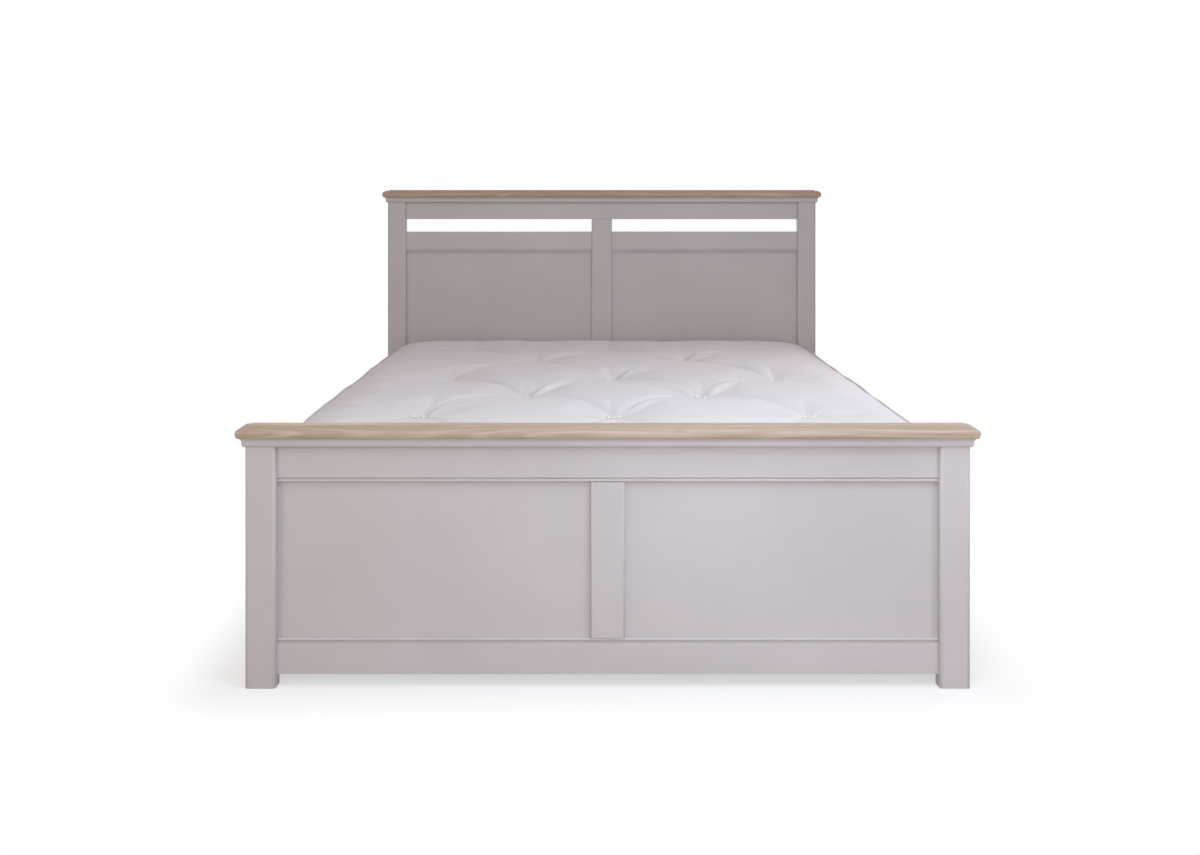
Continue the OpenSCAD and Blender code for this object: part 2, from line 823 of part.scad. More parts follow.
// Mechanism, drawn on the right side and mirrored
module hinge_plate_right() {
    color(steel) difference() {
        sheet(plate_in, 0) plate_outline([pivot_a, pivot_f, pivot_c], hinge_plate_r);
        for (p = [pivot_a, pivot_c, pivot_f]) pin(p, pin_r + run_fit, plate_in + cut, -cut);
        for (p = screw_places) pin(p, screw_r + joint_fit, plate_in + cut, -cut);
    }
}
module hinge_plate_left() {
    mirror([1, 0, 0]) hinge_plate_right();
}
module hinge_screws() {
    color(zinc) both() for (p = screw_places) translate([side_in_x - plate_in, p[0], p[1]])
        bolt(screw_head_r, screw_head_t, screw_r, plate_in + screw_l - cut);
}

// A pin with a head on its inner end, fixed in the hinge plate
module headed_pin(p, r, head_in, head_out) {
    pin(p, r, head_out, 0);
    pin(p, pin_head_r, head_in, head_out);
}
module fixed_pins() {
    color(zinc) both() {
        headed_pin(pivot_a, pin_r, main_in + face_gap + pin_head_t, main_in + face_gap);
        headed_pin(pivot_c, pin_r, rear_in + face_gap + pin_head_t, rear_in + face_gap);
        strut_face = strut_mid + eye_t / 2 + face_gap;
        headed_pin(pivot_f, pin_r, strut_face + pin_head_t, strut_face);
        pin(pivot_f, pin_head_r, strut_mid - eye_t / 2 - face_gap, plate_in);
    }
}
module main_link_right() {
    color(steel) difference() {
        sheet(main_in, main_out) plate_outline([pivot_a, pivot_b], main_link_w / 2);
        for (p = [pivot_a, pivot_b]) pin(p, pin_r + run_fit, main_in + cut, main_out - cut);
    }
}
module main_link_left() {
    mirror([1, 0, 0]) main_link_right();
}

// The rear link runs on its lower pin. Its upper end is the open pivot, with room round the pin
module rear_link_right() {
    color(steel) difference() {
        sheet(rear_in, rear_out) plate_outline([pivot_c, pivot_e], rear_link_w / 2);
        pin(pivot_c, pin_r + run_fit, rear_in + cut, rear_out - cut);
        pin(pivot_e, pin_r + open_pivot_fit, rear_in + cut, rear_out - cut);
    }
}
module rear_link_left() {
    mirror([1, 0, 0]) rear_link_right();
}

// Folded bracket: a plate with the pivots and a flange under the side tube
bracket_flange_l = 130;
bracket_reach = 14;
module platform_bracket_right() {
    corner_y = pivot_g[0] + bracket_reach;
    color(steel) {
        difference() {
            sheet(bracket_in, bracket_out)
                plate_outline([pivot_b, pivot_g, [corner_y, pivot_e[1]], pivot_e], bracket_r);
            for (p = [pivot_b, pivot_e]) pin(p, pin_r + run_fit, bracket_in + cut, bracket_out - cut);
            pin(pivot_g, strut_pin_r + run_fit, bracket_in + cut, bracket_out - cut);
        }
        translate([tube_in_x, corner_y - bracket_flange_l + bracket_r, platform_z - plate_t])
            cube([side_in_x - bracket_out - tube_in_x, bracket_flange_l, plate_t]);
    }
}
module platform_bracket_left() {
    mirror([1, 0, 0]) platform_bracket_right();
}

// Pins that the bracket carries: main link, rear link and gas strut
module platform_pins() {
    color(zinc) both() {
        pin(pivot_b, pin_r, bracket_in, main_out - face_gap);
        pin(pivot_b, pin_head_r, main_out - face_gap, main_out - face_gap - pin_head_t);
        pin(pivot_e, pin_r, bracket_in, rear_out - face_gap);
        pin(pivot_e, pin_head_r, rear_out - face_gap, rear_out - face_gap - pin_head_t);
        strut_face = strut_mid + eye_t / 2 + face_gap;
        pin(pivot_g, strut_pin_r, strut_face, bracket_out);
        pin(pivot_g, strut_eye_r, strut_face + pin_head_t, strut_face);
    }
}

// Gas strut, drawn along +X from its lower pivot and then set between its pivots
module set_strut() {
    translate([side_in_x - strut_mid, pivot_f[0], pivot_f[1]])
        rotate([0, 0, 90]) rotate([0, -strut_angle, 0]) children();
}
module eye(r, bore) {
    rotate([90, 0, 0]) difference() {
        cylinder(h = eye_t, r = r, center = true);
        cylinder(h = eye_t + 2 * cut, r = bore, center = true);
    }
}
strut_neck = 22;
strut_eye_wall = 7;
strut_tube_wall = 1.5;
strut_floor_t = 3;
strut_guide_l = 14;
strut_piston_l = 10;
rod_in_eye = 2;
module strut_cylinder_right() {
    tube_l = strut_body_l - strut_neck;
    color(black) set_strut() {
        eye(pin_r + strut_eye_wall, pin_r + run_fit);
        difference() {
            translate([pin_r + cut, -eye_t / 2, -pin_r]) cube([strut_neck - pin_r + cut, eye_t, 2 * pin_r]);
            rotate([90, 0, 0]) cylinder(h = eye_t + 2 * cut, r = pin_r + run_fit, center = true);
        }
        translate([strut_neck, 0, 0]) rotate([0, 90, 0]) difference() {
            cylinder(h = tube_l, r = strut_r);
            translate([0, 0, strut_floor_t])
                cylinder(h = tube_l - strut_floor_t - strut_guide_l, r = strut_r - strut_tube_wall);
            translate([0, 0, tube_l - strut_guide_l - cut])
                cylinder(h = strut_guide_l + 2 * cut, r = strut_bore_r);
        }
    }
}
module strut_cylinder_left() {
    mirror([1, 0, 0]) strut_cylinder_right();
}

// The rod's upper eye is the strut's open pivot, with room round the pin
module strut_rod_right() {
    rod_end = strut_len - strut_eye_r + rod_in_eye;
    rod_start = strut_body_l - rod_in_l;
    color(zinc) set_strut() {
        translate([rod_start, 0, 0]) rotate([0, 90, 0]) cylinder(h = rod_end - rod_start, r = strut_rod_r);
        translate([rod_start, 0, 0]) rotate([0, 90, 0])
            cylinder(h = strut_piston_l, r = strut_r - strut_tube_wall - slide_fit);
        translate([strut_len, 0, 0]) eye(strut_eye_r, strut_pin_r + strut_pivot_fit);
    }
}
module strut_rod_left() {
    mirror([1, 0, 0]) strut_rod_right();
}

// Mattress. Grid lines pass through every tuft, and the outer lines follow the rounded corners
half_w = mattress_w / 2;
half_l = mattress_l / 2;
lines_x = floor((half_w - 1) / cell_x);
lines_y = floor((half_l - 1) / cell_y);
grid_x = concat([-half_w], [for (i = [-lines_x : lines_x]) i * cell_x], [half_w]);
grid_y = concat([-half_l], [for (i = [-lines_y : lines_y]) i * cell_y], [half_l]);
nx = len(grid_x);
ny = len(grid_y);
tufts = concat(
    [for (i = [-1, 0, 1], j = [-2, 0, 2]) [i * tuft_pitch_x, j * tuft_pitch_y]],
    [for (i = [-0.5, 0.5], j = [-1, 1]) [i * tuft_pitch_x, j * tuft_pitch_y]]);

// Pulls a point of the plan inwards until it lies inside the rounded corner
function round_corner(p) = let (
    r = mattress_corner_r,
    dx = abs(p[0]) - (half_w - r),
    dy = abs(p[1]) - (half_l - r),
    d = norm([dx, dy]),
    out = dx > 0 && dy > 0,
    reach = max(dx, dy))
    out ? [sign(p[0]) * (half_w - r + dx * reach / d), sign(p[1]) * (half_l - r + dy * reach / d)] : p;

// Sum of the dips at the tufts
function dips(p, i = 0) = i == len(tufts) ? 0 :
    exp(-pow(norm(p - tufts[i]) / tuft_spread, 2)) + dips(p, i + 1);

// Distance from a point to the nearest diagonal line through the tufts, square to that line
function diagonal(p, s) = let (
    t = p[0] / tuft_pitch_x + s * p[1] / (2 * tuft_pitch_y),
    off = abs(t - round(t)))
    off * tuft_pitch_x * diagonal_slope;
function creases(p) = max([for (s = [-1, 1]) exp(-pow(diagonal(p, s) / crease_spread, 2))]);
function levelling(p, power) = (1 - pow(abs(p[0]) / half_w, power)) * (1 - pow(abs(p[1]) / half_l, power));
function top_z(p) = mattress_h + mattress_crown * levelling(p, crown_power)
    - levelling(p, edge_power) * (tuft_depth * dips(p) + crease_depth * creases(p));

// Perimeter of the grid, as index pairs in order round the mattress
perimeter = concat(
    [for (i = [0 : nx - 2]) [i, 0]],
    [for (j = [0 : ny - 2]) [nx - 1, j]],
    [for (i = [nx - 1 : -1 : 1]) [i, ny - 1]],
    [for (j = [ny - 1 : -1 : 1]) [0, j]]);
np = len(perimeter);

// Side rings from the bottom up: inset and height
rings = [
    [mattress_inset, 0], [0, mattress_roll], [mattress_waist, mattress_h / 2],
    [0, mattress_h - mattress_roll]];

function inset_point(p, d) = [
    p[0] * (half_w - d) / half_w,
    p[1] * (half_l - d) / half_l];

module mattress() {
    top = [for (j = [0 : ny - 1], i = [0 : nx - 1])
        let (
            p = round_corner([grid_x[i], grid_y[j]]),
            border = i == 0 || i == nx - 1 || j == 0 || j == ny - 1,
            q = inset_point(p, border ? mattress_inset : 0))
        [q[0], q[1], top_z([grid_x[i], grid_y[j]])]];
    side = [for (r = rings, k = perimeter)
        let (p = inset_point(round_corner([grid_x[k[0]], grid_y[k[1]]]), r[0])) [p[0], p[1], r[1]]];
    n_top = len(top);
    n_rings = len(rings);
    top_faces = [for (j = [0 : ny - 2], i = [0 : nx - 2], h = [0, 1])
        let (a = j * nx + i, b = a + 1, c = a + nx, d = c + 1) h == 0 ? [a, c, b] : [b, c, d]];
    side_faces = [for (r = [0 : n_rings - 2], k = [0 : np - 1], h = [0, 1])
        let (
            a = n_top + r * np + k,
            b = n_top + r * np + (k + 1) % np,
            c = a + np,
            d = b + np)
        h == 0 ? [a, c, b] : [b, c, d]];
    last = n_top + (n_rings - 1) * np;
    rim_faces = [for (k = [0 : np - 1], h = [0, 1])
        let (
            a = last + k,
            b = last + (k + 1) % np,
            c = perimeter[k][1] * nx + perimeter[k][0],
            m = perimeter[(k + 1) % np],
            d = m[1] * nx + m[0])
        h == 0 ? [a, c, b] : [b, c, d]];
    bottom_face = [[for (k = [0 : np - 1]) n_top + k]];
    color(cotton) translate([0, mattress_mid_y, mattress_z])
        polyhedron(concat(top, side), concat(top_faces, side_faces, rim_faces, bottom_face));
}

head_post_left();
head_post_right();
head_cap();
head_cornice();
head_top_rail();
head_mid_rail_left();
head_mid_rail_right();
head_bottom_rail();
head_stile();
head_panel_left();
head_panel_right();
foot_leg_left();
foot_leg_right();
foot_cap();
foot_cornice();
foot_top_rail();
foot_bottom_rail();
foot_stile();
foot_panel_left();
foot_panel_right();
side_rail_left();
side_rail_right();
corner_brackets();
corner_bolts();
foot_bearer();
rest_blocks();
rest_pads();
floor_ledgers();
floor_battens();
floor_board_foot();
floor_board_middle();
floor_board_head();
centre_feet();
side_tube_left();
side_tube_right();
foot_tube();
head_tube();
centre_tube();
slats_left();
slats_right();
slat_holders_left();
slat_holders_right();
slat_holders_centre();
mattress_stops();
hinge_plate_left();
hinge_plate_right();
hinge_screws();
fixed_pins();
main_link_left();
main_link_right();
rear_link_left();
rear_link_right();
platform_bracket_left();
platform_bracket_right();
platform_pins();
strut_cylinder_left();
strut_cylinder_right();
strut_rod_left();
strut_rod_right();
mattress();
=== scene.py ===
"""Looks of a storage bed: painted boards with oak caps, a tufted mattress and a lift platform.

X runs to the right as seen from the foot, Y towards the headboard and Z up. Lengths are metres.
"""

import logging
import math
from dataclasses import dataclass, field, replace
from enum import Enum
from typing import Any, Iterable, Sequence

import bpy
import numpy as np
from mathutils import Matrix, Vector


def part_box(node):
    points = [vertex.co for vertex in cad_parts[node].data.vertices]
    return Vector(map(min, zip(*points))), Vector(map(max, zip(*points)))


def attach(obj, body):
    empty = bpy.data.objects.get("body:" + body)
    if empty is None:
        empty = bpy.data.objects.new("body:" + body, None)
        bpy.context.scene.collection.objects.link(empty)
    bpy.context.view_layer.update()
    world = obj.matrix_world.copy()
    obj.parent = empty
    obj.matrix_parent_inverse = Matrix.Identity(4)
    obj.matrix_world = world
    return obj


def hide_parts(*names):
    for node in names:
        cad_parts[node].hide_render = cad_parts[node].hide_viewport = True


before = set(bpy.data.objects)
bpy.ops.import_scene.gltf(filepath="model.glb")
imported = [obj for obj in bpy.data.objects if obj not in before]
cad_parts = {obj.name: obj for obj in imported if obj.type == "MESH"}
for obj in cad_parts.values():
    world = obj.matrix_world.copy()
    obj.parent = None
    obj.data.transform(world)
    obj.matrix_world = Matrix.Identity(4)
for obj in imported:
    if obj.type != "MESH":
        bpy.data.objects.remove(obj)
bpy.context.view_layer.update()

logging.basicConfig(level=logging.INFO, format="%(name)s: %(message)s")
LOG = logging.getLogger("storage_bed")

MM = 0.001
Pair = tuple[float, float]
Triple = tuple[float, float, float]
Colour = tuple[float, float, float, float]
Array = np.ndarray
Node = bpy.types.Node
Socket = bpy.types.NodeSocket
Material = bpy.types.Material
Object = bpy.types.Object
UP = np.array([0.0, 0.0, 1.0])
WHITE = (1.0, 1.0, 1.0, 1.0)
WELD_REACH = 0.00001
BEVEL_STEPS = 2
BEVEL_ANGLE = math.radians(40)


class Axis(Enum):
    """The direction that a grain, a brush or a bar runs in."""

    X = 0
    Y = 1
    Z = 2


def srgb(red: int, green: int, blue: int) -> Colour:
    """Turns a screen colour into the linear colour that a shader takes.

    Each channel c from 0 to 1 becomes c / 12.92 below 0.04045, and above it 1.055 is divided out of
    c + 0.055 and the result raised to the power 2.4.

    Args:
        red, green, blue: the channels, from 0 to 255.
    Returns:
        The linear colour with full opacity.
    """
    channels = np.array([red, green, blue]) / 255.0
    linear = np.where(channels <= 0.04045, channels / 12.92, ((channels + 0.055) / 1.055) ** 2.4)
    return (float(linear[0]), float(linear[1]), float(linear[2]), 1.0)


def shades(colour: Colour, mottle: float) -> tuple[Colour, ...]:
    """Gives a colour darkened and lightened by the share that is its mottle."""
    return tuple(tuple(min(1.0, channel * share) for channel in colour[:3]) + (1.0,)
                 for share in (1 - mottle, 1 + mottle))


def stretched(grain: Axis, along: float, across: float) -> list[float]:
    """Gives the three scales of a pattern that is long in the grain's direction."""
    return [along if axis is grain else across for axis in Axis]


class Nodes:
    """A node tree, made by short calls."""

    def __init__(self, tree: bpy.types.NodeTree) -> None:
        """Takes a tree and empties it."""
        self.tree = tree
        self.tree.nodes.clear()

    def put(self, node: Node, sockets: dict[Any, Any]) -> Node:
        """Sets or links a node's inputs.

        Args:
            node: the node to fill in.
            sockets: values or output sockets, by the input's name or number.
        Returns:
            The same node.
        """
        for key, value in sockets.items():
            if isinstance(value, Socket):
                self.tree.links.new(value, node.inputs[key])
            else:
                node.inputs[key].default_value = value
        return node

    def add(self, kind: str, sockets: dict[Any, Any] | None = None, **settings: Any) -> Node:
        """Adds a node.

        Args:
            kind: the node's type, without the word ShaderNode.
            sockets: its inputs, as put() takes them.
            settings: the node's own properties.
        Returns:
            The new node.
        """
        node = self.tree.nodes.new("ShaderNode" + kind)
        for name, value in settings.items():
            setattr(node, name, value)
        return self.put(node, sockets or {})

    def maths(self, operation: str, first: Any, second: Any = 0.0) -> Socket:
        """Gives the result of one operation on two values."""
        return self.add("Math", {0: first, 1: second}, operation=operation).outputs[0]

    def seen(self) -> Socket:
        """Gives 1 for rays that show a surface: camera, glossy and transmission rays."""
        path = self.add("LightPath")
        both = self.maths("MAXIMUM", path.outputs["Is Camera Ray"], path.outputs["Is Glossy Ray"])
        return self.maths("MAXIMUM", both, path.outputs["Is Transmission Ray"])


class Graph(Nodes):
    """A material's node tree. Its surface is one Principled shader."""

    def __init__(self, name: str) -> None:
        """Starts a material with a Principled shader on its output."""
        self.material = bpy.data.materials.new(name)
        self.material.use_nodes = True
        super().__init__(self.material.node_tree)
        self.shader = self.add("BsdfPrincipled")
        self.output = self.add("OutputMaterial", {"Surface": self.shader.outputs[0]})

    def place(self, stretch: Sequence[float] = (1, 1, 1), shift: Sequence[float] = (0, 0, 0),
              source: str = "Object") -> Socket:
        """Gives the coordinates of a pattern: the piece's own metres, stretched and shifted."""
        return self.add("Mapping", {"Vector": self.add("TexCoord").outputs[source],
                                    "Scale": stretch, "Location": shift}).outputs[0]

    def noise(self, vector: Socket, scale: float, detail: float = 3.0,
              roughness: float = 0.5) -> Socket:
        """Gives a cloudy value from 0 to 1."""
        return self.add("TexNoise", {"Vector": vector, "Scale": scale, "Detail": detail,
                                     "Roughness": roughness}).outputs["Fac"]

    def ramp(self, value: Socket, *stops: tuple[float, Any]) -> Socket:
        """Turns a value into colours.

        Args:
            value: what to read.
            stops: pairs of a place from 0 to 1 and a colour, or a grey level, in rising order.
        Returns:
            The colour output.
        """
        node = self.add("ValToRGB", {0: value})
        elements = node.color_ramp.elements
        while len(elements) < len(stops):
            elements.new(0.5)
        for element, (position, colour) in zip(elements, stops):
            element.position = position
            element.color = colour if isinstance(colour, tuple) else (colour, colour, colour, 1.0)
        return node.outputs[0]

    def mix(self, amount: Any, first: Any, second: Any, blend: str = "MIX") -> Socket:
        """Mixes two colours by an amount from 0 to 1."""
        node = self.add("Mix", data_type="RGBA", blend_type=blend)
        self.put(node, {0: amount, 6: first, 7: second})
        return node.outputs[2]

    def lerp(self, amount: Socket, low: float, high: float) -> Socket:
        """Gives low where amount is 0 and high where it is 1."""
        return self.add("MapRange", {"Value": amount, "To Min": low, "To Max": high}).outputs[0]

    def bump(self, *layers: tuple[Socket, float]) -> Socket:
        """Stacks bump layers, each a height from 0 to 1 and a depth in metres, into a normal."""
        normal = None
        for height, depth in layers:
            node = self.add("Bump", {"Height": height, "Distance": depth, "Strength": 1.0})
            if normal is not None:
                self.put(node, {"Normal": normal})
            normal = node.outputs[0]
        return normal

    def surface(self, **sockets: Any) -> Material:
        """Sets the shader's inputs, written with _ for a space, and gives the material."""
        self.put(self.shader, {name.replace("_", " "): value for name, value in sockets.items()})
        return self.material


@dataclass(frozen=True)
class Paint:
    """A satin eggshell paint, brushed along the piece."""

    name: str
    colour: Colour
    grain: Axis = Axis.X
    roughness: float = 0.42
    brush_depth: float = 0.00006
    peel_depth: float = 0.00003
    mottle: float = 0.05

    def material(self) -> Material:
        """Makes the paint: soft mottling, brush marks along the grain and a fine peel."""
        graph = Graph(self.name)
        body = graph.place()
        brush = graph.noise(graph.place(stretched(self.grain, 5.0, 260.0)), 1.0)
        cloud = graph.noise(body, 2.6, 4.0, 0.55)
        peel = graph.noise(body, 900.0, 2.0)
        darker, lighter = shades(self.colour, self.mottle)
        tone = graph.mix(graph.ramp(cloud, (0.3, 0.0), (0.7, 1.0)), darker, lighter)
        streaked = graph.mix(graph.lerp(brush, 0.0, 0.10), tone, lighter)
        rough = graph.lerp(brush, self.roughness - 0.04, self.roughness + 0.06)
        normal = graph.bump((brush, self.brush_depth), (peel, self.peel_depth))
        return graph.surface(Base_Color=streaked, Roughness=rough, Normal=normal)


@dataclass(frozen=True)
class Timber:
    """Bare or oiled wood: growth rings that wander along the grain, fibres, and open pores."""

    name: str
    pale: Colour
    middle: Colour
    dark: Colour
    pore: Colour
    grain: Axis = Axis.X
    ring_pitch: float = 0.011
    wander: float = 0.030
    pore_share: float = 0.5
    roughness: float = 0.5
    fibre_depth: float = 0.00010
    pore_depth: float = 0.00012
    shift: Triple = (0.0, 0.0, 0.0)
    piece_pitch: float = 0.0

    def cloud(self, graph: Graph, along: float, across: float, *kind: float) -> Socket:
        """Gives a cloudy value that is long in the grain's direction."""
        place = graph.place(stretched(self.grain, along, across), self.shift)
        return graph.noise(place, 1.0, *kind)

    def material(self) -> Material:
        """Makes the wood.

        The ring value is the sine of the distance across the grain over the ring pitch, moved to
        and fro by a cloudy value that changes slowly along the grain. Fibres and pores are clouds
        that are drawn out 84 and 68 times along the grain.
        """
        graph = Graph(self.name)
        drift = self.cloud(graph, 1.1, 9.0, 2.0, 0.45)
        split = graph.add("SeparateXYZ", {0: graph.place(shift=self.shift)})
        others = [split.outputs[axis.value] for axis in Axis if axis is not self.grain]
        across = graph.maths("ADD", others[0], graph.maths("MULTIPLY", others[1], 0.45))
        moved = graph.maths("ADD", across, graph.maths("MULTIPLY", drift, self.wander * 4))
        rings = graph.maths("SINE", graph.maths("MULTIPLY", moved, 2 * math.pi / self.ring_pitch))
        ring = graph.lerp(rings, 0.5, 1.0)
        fibre = self.cloud(graph, 5.0, 420.0, 4.0, 0.6)
        pores = self.cloud(graph, 22.0, 1500.0, 2.0)
        cloud = self.cloud(graph, 1.2, 5.0, 2.0)
        value = graph.maths("ADD", graph.maths("MULTIPLY", ring, 0.42),
                            graph.maths("ADD", graph.maths("MULTIPLY", fibre, 0.38),
                                        graph.maths("MULTIPLY", cloud, 0.30)))
        wood = graph.ramp(value, (0.34, self.dark), (0.55, self.middle), (0.78, self.pale))
        if self.piece_pitch:
            number = graph.maths("ROUND", graph.maths("DIVIDE", split.outputs[1], self.piece_pitch))
            tint = graph.add("TexWhiteNoise", {"W": number}, noise_dimensions="1D").outputs["Value"]
            wood = graph.mix(graph.lerp(tint, 0.0, 0.35), wood, self.middle, "MULTIPLY")
        pore = graph.ramp(pores, (0.60, 0.0), (0.70, 1.0))
        coloured = graph.mix(graph.maths("MULTIPLY", pore, self.pore_share), wood, self.pore)
        rough = graph.lerp(fibre, self.roughness - 0.07, self.roughness + 0.09)
        sunk = graph.maths("SUBTRACT", 1.0, pore)
        normal = graph.bump((fibre, self.fibre_depth), (sunk, self.pore_depth))
        return graph.surface(Base_Color=coloured, Roughness=rough, Normal=normal)


@dataclass(frozen=True)
class Moulded:
    """Metal, plastic or rubber: one colour with a fine grain, and slow changes in its gloss."""

    name: str
    colour: Colour
    metallic: float = 0.0
    roughness: float = 0.5
    grain_scale: float = 700.0
    grain_depth: float = 0.00003
    mottle: float = 0.12

    def material(self) -> Material:
        """Makes the finish: a cloud in its colour and gloss, and a fine grain as bump."""
        graph = Graph(self.name)
        body = graph.place()
        cloud = graph.noise(body, 14.0, 4.0, 0.6)
        grain = graph.noise(body, self.grain_scale, 2.0, 0.5)
        darker, lighter = shades(self.colour, self.mottle)
        tone = graph.mix(graph.lerp(cloud, 0.0, 1.0), darker, lighter)
        rough = graph.lerp(cloud, self.roughness - 0.06, self.roughness + 0.06)
        return graph.surface(Base_Color=tone, Metallic=self.metallic, Roughness=rough,
                             Normal=graph.bump((grain, self.grain_depth)))


@dataclass(frozen=True)
class Weave:
    """Cloth: warp and weft threads that follow the piece's own UV map in metres, soft and matt."""

    name: str
    colour: Colour
    shade: Colour
    thread_pitch: float = 0.0011
    depth: float = 0.00012
    sheen: float = 0.12

    def material(self) -> Material:
        """Makes the cloth.

        Warp and weft are sines of the two UV lengths over the thread pitch, and their product gives
        the little hills of a plain weave. Slubs are clouds that are drawn out along the weft.
        """
        graph = Graph(self.name)
        split = graph.add("SeparateXYZ", {0: graph.place(source="UV")})
        turns = math.pi / self.thread_pitch
        warp = graph.maths("SINE", graph.maths("MULTIPLY", split.outputs[0], turns))
        weft = graph.maths("SINE", graph.maths("MULTIPLY", split.outputs[1], turns))
        weave = graph.lerp(graph.maths("MULTIPLY", warp, weft), 0.5, 1.0)
        slub = graph.noise(graph.place((45.0, 900.0, 1.0), source="UV"), 1.0, 2.0)
        cloud = graph.noise(graph.place(source="UV"), 5.0, 4.0, 0.55)
        tone = graph.mix(graph.lerp(cloud, 0.0, 0.55), self.colour, self.shade)
        threads = graph.mix(graph.lerp(slub, 0.0, 0.25), tone, self.shade)
        return graph.surface(Base_Color=threads, Roughness=0.9, Sheen_Weight=self.sheen,
                             Sheen_Roughness=0.5, Specular_IOR_Level=0.2,
                             Normal=graph.bump((weave, self.depth), (slub, self.depth * 0.6)))


PAINT_COLOUR = srgb(193, 187, 186)
PAINT_ALONG_X = Paint("paint_along_x", PAINT_COLOUR, Axis.X)
PAINT_ALONG_Y = Paint("paint_along_y", PAINT_COLOUR, Axis.Y)
PAINT_ALONG_Z = Paint("paint_along_z", PAINT_COLOUR, Axis.Z)
FOOT_OAK = Timber("foot_cap_oak", srgb(194, 175, 155), srgb(178, 157, 136), srgb(160, 136, 114),
                  srgb(136, 112, 92))
# The head cap's oak is the foot cap's oak drawn darker and warmer in its middle and dark tones:
# painted shade for the dimmer light at the headboard.
HEAD_OAK_PAINTED_SHADE = Timber("head_cap_oak_painted_shade", srgb(200, 174, 150), srgb(182, 152, 126), srgb(160, 126, 100),
                  srgb(134, 104, 82), shift=(3.7, 0.2, 0.4))
PINE = Timber("planed_pine", srgb(222, 196, 152), srgb(208, 178, 132), srgb(188, 152, 104),
              srgb(170, 130, 84), ring_pitch=0.019, wander=0.022, pore_share=0.12, roughness=0.55)
PINE_ALONG_Y = replace(PINE, name="planed_pine_along_y", grain=Axis.Y)
SLAT_WOOD = Timber("bent_slat_wood", srgb(226, 206, 172), srgb(214, 190, 152), srgb(196, 168, 126),
                   srgb(184, 152, 110), ring_pitch=0.024, wander=0.02, pore_share=0.15,
                   roughness=0.42, piece_pitch=0.1389)
BOARD = Moulded("storage_floor_board", srgb(206, 201, 196), roughness=0.6, grain_scale=420.0,
                grain_depth=0.00005, mottle=0.04)
BLACK_STEEL = Moulded("powder_coated_steel", srgb(34, 34, 36), roughness=0.46, grain_scale=650.0,
                      grain_depth=0.00006)
ZINC = Moulded("zinc_plated_steel", srgb(196, 198, 202), metallic=1.0, roughness=0.32,
               grain_scale=900.0, grain_depth=0.00001)
CHROME = Moulded("chromed_rod", srgb(216, 218, 222), metallic=1.0, roughness=0.12,
                 grain_scale=1200.0, grain_depth=0.000004, mottle=0.03)
PLASTIC = Moulded("black_plastic", srgb(30, 30, 32), roughness=0.5, grain_scale=1100.0)
RUBBER = Moulded("rubber", srgb(28, 28, 28), roughness=0.82, grain_scale=800.0, grain_depth=0.00005)
TICKING = Weave("mattress_ticking", srgb(238, 235, 240), srgb(226, 221, 225))
PIPING = Weave("mattress_piping", srgb(222, 217, 221), srgb(200, 194, 198), thread_pitch=0.0014)
TWINE = Weave("tuft_twine", srgb(244, 242, 242), srgb(214, 208, 206), thread_pitch=0.0012,
              depth=0.0003)


class Finishes:
    """Makes each finish once and hands its material out."""

    def __init__(self) -> None:
        """Starts with no material made."""
        self.made: dict[str, Material] = {}

    def of(self, finish: Any) -> Material:
        """Gives a finish's material, making it on its first use."""
        if finish.name not in self.made:
            self.made[finish.name] = finish.material()
        return self.made[finish.name]

    def dress(self, names: Iterable[str], finish: Any, bevel: float = 0.0) -> None:
        """Gives CAD nodes their finish, and softens their sharp edges.

        Args:
            names: the nodes.
            finish: the finish that they share.
            bevel: the width of the softened edge in metres, or 0 for none.
        """
        for name in names:
            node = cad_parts[name]
            node.data.materials.clear()
            node.data.materials.append(self.of(finish))
            if bevel:
                weld = node.modifiers.new("Weld", "WELD")
                weld.merge_threshold = WELD_REACH
                soft = node.modifiers.new("Bevel", "BEVEL")
                soft.width = bevel
                soft.segments = BEVEL_STEPS
                soft.limit_method = "ANGLE"
                soft.angle_limit = BEVEL_ANGLE
                soft.harden_normals = True
            LOG.info("%s takes %s", name, finish.name)


def mesh_object(name: str, points: Array, faces: Any, uv: Array | None = None,
                material: Material | None = None) -> Object:
    """Makes a smooth mesh object at the origin from arrays.

    Args:
        name: the piece's name.
        points: the vertices, one row each, in metres.
        faces: the faces' vertex numbers, as an array of rows or a list of lists.
        uv: the UV place of each face corner, in metres, in the order of faces.
        material: its material, if it has one yet.
    Returns:
        The new object, linked to the scene.
    """
    mesh = bpy.data.meshes.new(name)
    mesh.from_pydata(points.tolist(), [], [list(face) for face in faces])
    mesh.polygons.foreach_set("use_smooth", np.ones(len(mesh.polygons), dtype=bool))
    if uv is not None:
        layer = mesh.uv_layers.new(name="UVMap")
        layer.data.foreach_set("uv", uv.reshape(-1).astype(np.float32))
    mesh.update()
    if material is not None:
        mesh.materials.append(material)
    thing = bpy.data.objects.new(name, mesh)
    bpy.context.scene.collection.objects.link(thing)
    return thing


def grid_faces(rows: int, columns: int, wrap: bool = False) -> Array:
    """Numbers the four corners of every cell of a grid of vertices.

    Args:
        rows, columns: how many vertices the grid has each way.
        wrap: whether the last column joins the first.
    Returns:
        One row of four vertex numbers per cell, anticlockwise as seen from above.
    """
    last = columns if wrap else columns - 1
    row, column = np.meshgrid(np.arange(rows - 1), np.arange(last), indexing="ij")
    row, column = row.ravel(), column.ravel()
    right = (column + 1) % columns
    here = row * columns
    above = here + columns
    return np.stack([here + column, here + right, above + right, above + column], axis=1)


